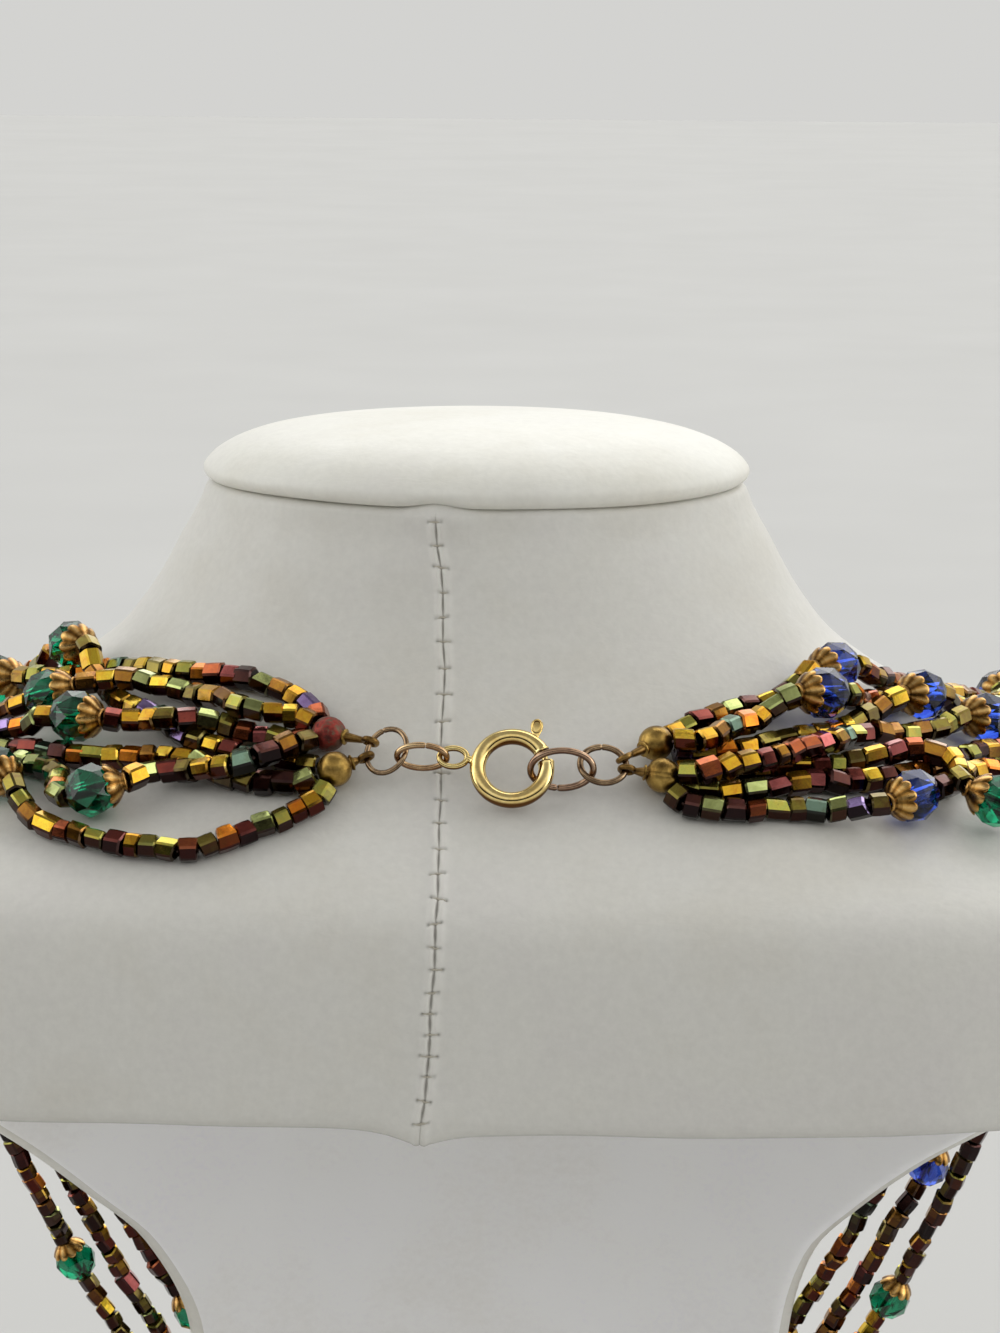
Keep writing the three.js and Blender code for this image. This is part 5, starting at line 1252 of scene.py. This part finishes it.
seed_total = 0
for si, st in enumerate(strands):
    name = st["name"]
    q = st["at"]
    s_core, _ = along(q)
    k0 = tip_balls[st["ltip"]] + unit(q[0] - tip_balls[st["ltip"]]) * (BALL_R + 0.1)
    k1 = tip_balls[st["rtip"]] + unit(q[-1] - tip_balls[st["rtip"]]) * (BALL_R + 0.1)
    path = np.vstack([k0[None], q, k1[None]])
    lead = float(np.linalg.norm(q[0] - k0))
    s, at = along(path)
    total = s[-1]
    stops = [0.15]
    for g in st["glass"]:
        g["s"] = lead + s_core[g["i"]]
        a, c = (4.2, 3.15) if g["side"] > 0 else (3.15, 4.2)
        stops += [g["s"] - a, g["s"] + c]
    stops.append(total - 0.15)
    V, F, col, film_and_painted_shade = [], [], [], []
    n = 0
    mixl, mixr = np.array(LEFT_MIX, float), np.array(RIGHT_MIX, float)
    for kk, w in STRAND_TILT.get(name, {}).items():
        mixl[NAMES.index(kk)] *= w
        mixr[NAMES.index(kk)] *= w
    for a, c in zip(stops[::2], stops[1::2]):
        lens = []
        while sum(lens) < c - a:
            lens.append(float(np.clip(rng.normal(2.5, 0.33), 1.75, 3.2)))
        over = sum(lens) - (c - a)
        if over > lens[-1] / 2 and len(lens) > 1:
            lens.pop()
        scale = (c - a) / sum(lens)
        x = a
        for L in lens:
            L *= scale
            p0, p1 = at(x + 0.03), at(x + L - 0.03)
            x += L
            t, u, w = basis(p1 - p0)
            tiltv = u * rng.normal(0, 0.085) + w * rng.normal(0, 0.085)
            t, u, w = basis(t + tiltv)
            roll = rng.uniform(0, math.pi / 3)
            cr, sr = math.cos(roll), math.sin(roll)
            uu, ww = u * cr + w * sr, -u * sr + w * cr
            R = 1.56 * float(np.clip(rng.normal(1.0, 0.055), 0.88, 1.06))
            tpl = TPL.copy()
            slant = rng.normal(0, 0.07, (2, 2))
            for end, sgn in ((0, -1), (1, 1)):
                sel = np.sign(tpl[:, 0]) == sgn
                tpl[sel, 0] += (tpl[sel, 1] * slant[end, 0] + tpl[sel, 2] * slant[end, 1])
            flat = 1 + rng.normal(0, 0.045, 2)
            mid = (p0 + p1) / 2 + (u * rng.normal(0, 0.09) + w * rng.normal(0, 0.09))
            vv = mid + tpl[:, :1] * (L - 0.07) * t + tpl[:, 1:2] * R * flat[0] * uu + tpl[:, 2:3] * R * flat[1] * ww
            V.append(vv)
            F.append(TF + n)
            n += len(vv)
            mix = mixl if x < total / 2 else mixr
            nm = NAMES[rng.choice(len(NAMES), p=mix / mix.sum())]
            lit, painted_shade_col, drift = PAINT_LIN[nm]
            # painted light and shade: facets facing up take the lit colour, facets facing down the shaded one
            ang = ring_q.reshape(6, 2)
            kinds = np.zeros((len(TF), 3))
            films = np.zeros((len(TF), 3))
            side_gain = rng.uniform(0.45, 1.15, 7)
            shade_tone = np.array([0.34, 0.19, 0.17]) * rng.uniform(0.6, 1.3)
            fc = vv[TF]
            nn = unit(np.cross(fc[:, 1] - fc[:, 0], fc[:, 2] - fc[:, 0]))
            out = fc.mean(1) - mid
            nn *= np.sign((nn * out).sum(1))[:, None]
            f = np.clip((nn[:, 2] + 0.06) / 0.62, 0, 1)
            f = f * f * (3 - 2 * f)
            f = np.clip(f * side_gain[TF_SIDE], 0, 1)[:, None]
            kinds = painted_shade_col * shade_tone * (1 - f) + lit * 0.94 * f
            films = painted_shade_col * shade_tone * 1.5 * (1 - f) + drift * f
            # narrow corner bevels darker than the facets, with painted highlight where they face up
            edge = TF_EDGE & (TF_KIND == 0)
            kinds[edge] = kinds[edge] * 0.6 + lit * 0.25 * f[edge] + 0.01
            # painted highlight: on some beads a pale rim round the end bevels, brightest where it faces up; on the
            # rest the bevels darker
            bev = TF_KIND == 1
            rim = 0.55 if rng.random() < 0.45 else 0.12
            kinds[bev] = kinds[bev] * 0.5 + lit * rim * (0.3 + 0.7 * f[bev]) + 0.06 * rim
            # painted shade: the end faces, where the beads meet, darkened
            end = TF_KIND == 2
            kinds[end] = kinds[end] * 0.3
            col.append(kinds)
            film_and_painted_shade.append(films)
            seed_total += 1
    # the thread that everything hangs on
    dense = at(np.linspace(-0.0, total, int(total / 1.6)))
    tv, tf = sweep(dense, 0.27, 6)
    V.append(tv)
    F.append([[i + n for i in face] for face in tf])
    brown = np.tile(lin((46, 28, 22)), (len(tf), 1))
    col.append(brown)
    film_and_painted_shade.append(brown)
    faces = [list(map(int, face)) for chunk in F for face in chunk]
    put("seed_beads_" + str(si + 1), np.concatenate(V), faces, M_SEED, replaces=[name], sharp=20,
        corner={"iris_and_painted_light": np.concatenate(col), "film_and_painted_shade": np.concatenate(film_and_painted_shade)})

    # glass beads with diamond facets, and the fluted cap on the clasp's side of each
    gb, bb_, cb = Build(), Build(), Build()
    cap_shade_and_highlight = []
    own = {"green": [], "blue": []}
    for j, g in enumerate(st["glass"]):
        t, u, w = basis(g["dir"])
        roll = rng.uniform(0, math.pi)
        u, w = u * math.cos(roll) + w * math.sin(roll), -u * math.sin(roll) + w * math.cos(roll)
        sides = 7
        rings = [(-2.85, 0.62, 0), (-2.95, 1.25, 0), (-2.35, 2.32, 0), (-0.85, 3.2, 0.5), (0.85, 3.2, 0), (2.3, 2.32, 0.5), (3.0, 1.25, 0.5), (2.9, 0.62, 0.5)]
        gv = []
        for d, r, ph in rings:
            for i in range(sides):
                a = 2 * math.pi * (i + ph) / sides
                gv.append(g["at"] + t * d + r * (math.cos(a) * u + math.sin(a) * w))
        gf = []
        for k in range(len(rings) - 1):
            for i in range(sides):
                i2 = (i + 1) % sides
                p, q_ = k * sides, (k + 1) * sides
                ph0, ph1 = rings[k][2], rings[k + 1][2]
                if ph0 == ph1:
                    gf.append([p + i, p + i2, q_ + i2, q_ + i])
                elif ph1 > ph0:
                    gf += [[p + i, p + i2, q_ + i], [p + i2, q_ + i2, q_ + i]]
                else:
                    gf += [[p + i, q_ + i2, q_ + i], [p + i, p + i2, q_ + i2]]
        # through the hole back to the start
        p, q_ = (len(rings) - 1) * sides, 0
        for i in range(sides):
            i2 = (i + 1) % sides
            gf.append([p + i, p + i2, q_ + i2, q_ + i])
        gf = faced_out(gv, gf)
        blue = g["side"] < 0 and name != "strand_7"
        (bb_ if blue else gb).add(gv, gf)
        node = "glass_%s_%02d" % (name[-1], j + 1)
        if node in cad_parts:
            own["blue" if blue else "green"].append(node)
        # cap: collar, then ten round-ended petals lying on the bead, and its inside
        ribs, per = 10, 8
        prof = [(-4.3, 0.55), (-4.42, 0.8), (-4.4, 1.02), (-4.2, 1.16), (-3.98, 1.1), (-3.78, 1.25), (-3.44, 1.68), (-3.06, 2.12), (-2.66, 2.46), (-2.3, 2.68), (-2.04, 2.76), (-1.93, 2.7), (-2.02, 2.58), (-2.4, 2.36), (-2.95, 1.75), (-3.18, 1.0)]
        cv = []
        rows_ = len(prof)
        tone = np.zeros((rows_, ribs * per, 2))
        for row, (d, r) in enumerate(prof):
            grow = float(np.clip((d + 4.0) / 1.5, 0, 1))
            for i in range(ribs * per):
                a = 2 * math.pi * i / (ribs * per)
                lobe = abs(math.cos(a * ribs / 2))
                rr = r * (1 - 0.12 * grow * (1 - lobe ** 0.8))
                dd = d - 0.4 * grow ** 2 * (1 - lobe ** 0.7)
                cv.append(g["at"] + t * dd + rr * (math.cos(a) * u + math.sin(a) * w))
                # red: painted shade in the creases, at the collar's foot and inside the cap; green: painted highlight
                # on the petals' crowns and the collar
                deep = max(0.0, 1 - lobe / 0.6) ** 0.8 * (0.45 + 0.55 * grow) if row >= 4 else 0.0
                tone[row, i] = (min(1.0, deep + (0.55 if row in (4, 5) else 0) + (0.8 if row >= 12 else 0)), 0.55 * max(0.0, lobe - 0.75) / 0.25 * (1 if 6 <= row <= 10 else 0) + (0.35 if row in (1, 2) else 0))
        cf = grid_faces(rows_, ribs * per, wrap=True, flip=True)
        flat_tone = tone.reshape(-1, 2)
        cap_shade_and_highlight.append(np.concatenate([flat_tone[cf].mean(1), np.zeros((len(cf), 1))], 1))
        cb.add(cv, cf.tolist())
    for colour, build, mat in (("green", gb, M_GREEN), ("blue", bb_, M_BLUE)):
        if build.n:
            v, fc = build.done()
            put("glass_%s_%d" % (colour, si + 1), v, fc, mat, replaces=own[colour], flat=True)
    v, fc = cb.done()
    put("bead_caps_" + str(si + 1), v, fc, M_FLUTED, sharp=50, corner={"cap_shade_and_highlight": np.concatenate(cap_shade_and_highlight)})


# ---------------------------------------------------------------- floor, camera, light
def stage_mesh(name, verts, faces, mat):
    me = bpy.data.meshes.new(name)
    me.from_pydata(verts, [], faces)
    ob = bpy.data.objects.new(name, me)
    bpy.context.scene.collection.objects.link(ob)
    me.materials.append(mat)
    me.polygons.foreach_set("use_smooth", [True] * len(me.polygons))
    return ob


floor = Mat("studio_floor")
n = floor.noise(3.0, 3)
tone = floor.ramp(n, "Fac", [(0.3, tuple(lin((201, 201, 200)))), (0.7, tuple(lin((204, 204, 203))))])
r = floor.span(floor.noise(8.0), "Fac", 0.3, 0.7, 0.7, 0.85)
floor.set(Specular_IOR_Level=0.15)
M_FLOOR = floor.finish((tone, "Color"), (r, "Result"), None)
stage_mesh("studio_floor", [(-9, -9, -0.0004), (9, -9, -0.0004), (9, 9, -0.0004), (-9, 9, -0.0004)], [[0, 1, 2, 3]], M_FLOOR)

# camera: behind the neck, a little above, 440 mm from the clasp
el, az, roll = math.radians(11.3), math.radians(2), math.radians(0.4)
look = np.array([3.3, 0, -26.4 + SEAM_Z])
fwd = np.array([-math.sin(az) * math.cos(el), math.cos(az) * math.cos(el), -math.sin(el)])
right = unit(np.cross(fwd, [0, 0, 1.0]))
up = np.cross(right, fwd)
r2, u2 = right * math.cos(roll) + up * math.sin(roll), -right * math.sin(roll) + up * math.cos(roll)
pos = (look - fwd * 440) * 0.001
cam = bpy.data.objects.new("camera", bpy.data.cameras.new("camera"))
cam.data.lens = 3280 * 36 / 1333
cam.data.sensor_width = 36
cam.data.clip_start, cam.data.clip_end = 0.01, 60
m = np.eye(4)
m[:3, 0], m[:3, 1], m[:3, 2], m[:3, 3] = r2, u2, -fwd, pos
cam.matrix_world = Matrix(m.tolist())
bpy.context.scene.collection.objects.link(cam)
bpy.context.scene.camera = cam


# one broad soft light, high and from the chest's side, as in a light tent
sun = bpy.data.objects.new("tent_light", bpy.data.lights.new("tent_light", "SUN"))
sun.data.energy, sun.data.angle, sun.data.color = 1.35, math.radians(62), (1.0, 0.99, 0.965)
z = unit([0.2, 0.72, 0.68])
x = unit(np.cross([0, 0, 1.0], z))
mm = np.eye(4)
mm[:3, 0], mm[:3, 1], mm[:3, 2] = x, np.cross(z, x), z
sun.matrix_world = Matrix(mm.tolist())
bpy.context.scene.collection.objects.link(sun)

# light tent: dim behind the camera near the floor, bright to the sides, pale overhead
DARK, TOP = (0.06, 0.998), 0.31
LOW = [(0.0, 0.02), (0.2, 0.05), (0.3, 0.7), (0.38, 2.6), (0.5, 2.6), (0.64, 1.4), (0.9, 0.66), (1.0, 0.655)]
HIGH = [(0.0, 0.75), (0.25, 0.95), (0.38, 2.0), (0.5, 2.0), (0.64, 1.2), (1.0, 0.45)]
world = bpy.data.worlds.new("studio")
bpy.context.scene.world = world
world.use_nodes = True
wt = world.node_tree
wt.nodes.clear()


def wn(kind, **kw):
    node = wt.nodes.new(kind)
    for k, v in kw.items():
        setattr(node, k, v)
    return node


wo, wb = wn("ShaderNodeOutputWorld"), wn("ShaderNodeBackground")
wc, ws = wn("ShaderNodeTexCoord"), wn("ShaderNodeSeparateXYZ")
wt.links.new(wc.outputs["Generated"], ws.inputs[0])
side = wn("ShaderNodeVectorMath", operation="DOT_PRODUCT")
side.inputs[1].default_value = (DARK[0], DARK[1], 0.0)
wt.links.new(wc.outputs["Generated"], side.inputs[0])


def wspan(socket, a, b, smooth=False):
    node = wn("ShaderNodeMapRange")
    node.inputs["From Min"].default_value, node.inputs["From Max"].default_value = a, b
    if smooth:
        node.interpolation_type = "SMOOTHSTEP"
    wt.links.new(socket, node.inputs["Value"])
    return node.outputs["Result"]


def wramp(socket, stops):
    node = wn("ShaderNodeValToRGB")
    e = node.color_ramp.elements
    while len(e) < len(stops):
        e.new(0.5)
    for k, (p, c) in enumerate(stops):
        e[k].position, e[k].color = p, (c, c, c * 0.972, 1)
    wt.links.new(socket, node.inputs["Fac"])
    return node.outputs["Color"]


def wmix(f, a, b):
    node = wn("ShaderNodeMix", data_type="RGBA")
    wt.links.new(f, node.inputs[0])
    for socket, value in ((node.inputs[6], a), (node.inputs[7], b)):
        if isinstance(value, tuple):
            socket.default_value = value
        else:
            wt.links.new(value, socket)
    return node.outputs[2]


about = wspan(side.outputs["Value"], -1.0, 1.0)
low, high = wramp(about, LOW), wramp(about, HIGH)
walls = wmix(wspan(ws.outputs["Z"], 0.18, 0.52, True), low, high)
sky = wmix(wspan(ws.outputs["Z"], 0.62, 0.9, True), walls, (TOP, TOP * 0.993, TOP * 0.978, 1))
# past the floor's edge the backdrop is as pale as the floor
seen = wmix(wn("ShaderNodeLightPath").outputs["Is Camera Ray"], sky, (0.652, 0.65, 0.634, 1))
wt.links.new(seen, wb.inputs["Color"])
wt.links.new(wb.outputs[0], wo.inputs["Surface"])
wb.inputs["Strength"].default_value = 1.0

sc = bpy.context.scene
sc.view_settings.view_transform = "Standard"
sc.view_settings.look = "None"
sc.cycles.use_denoising = True
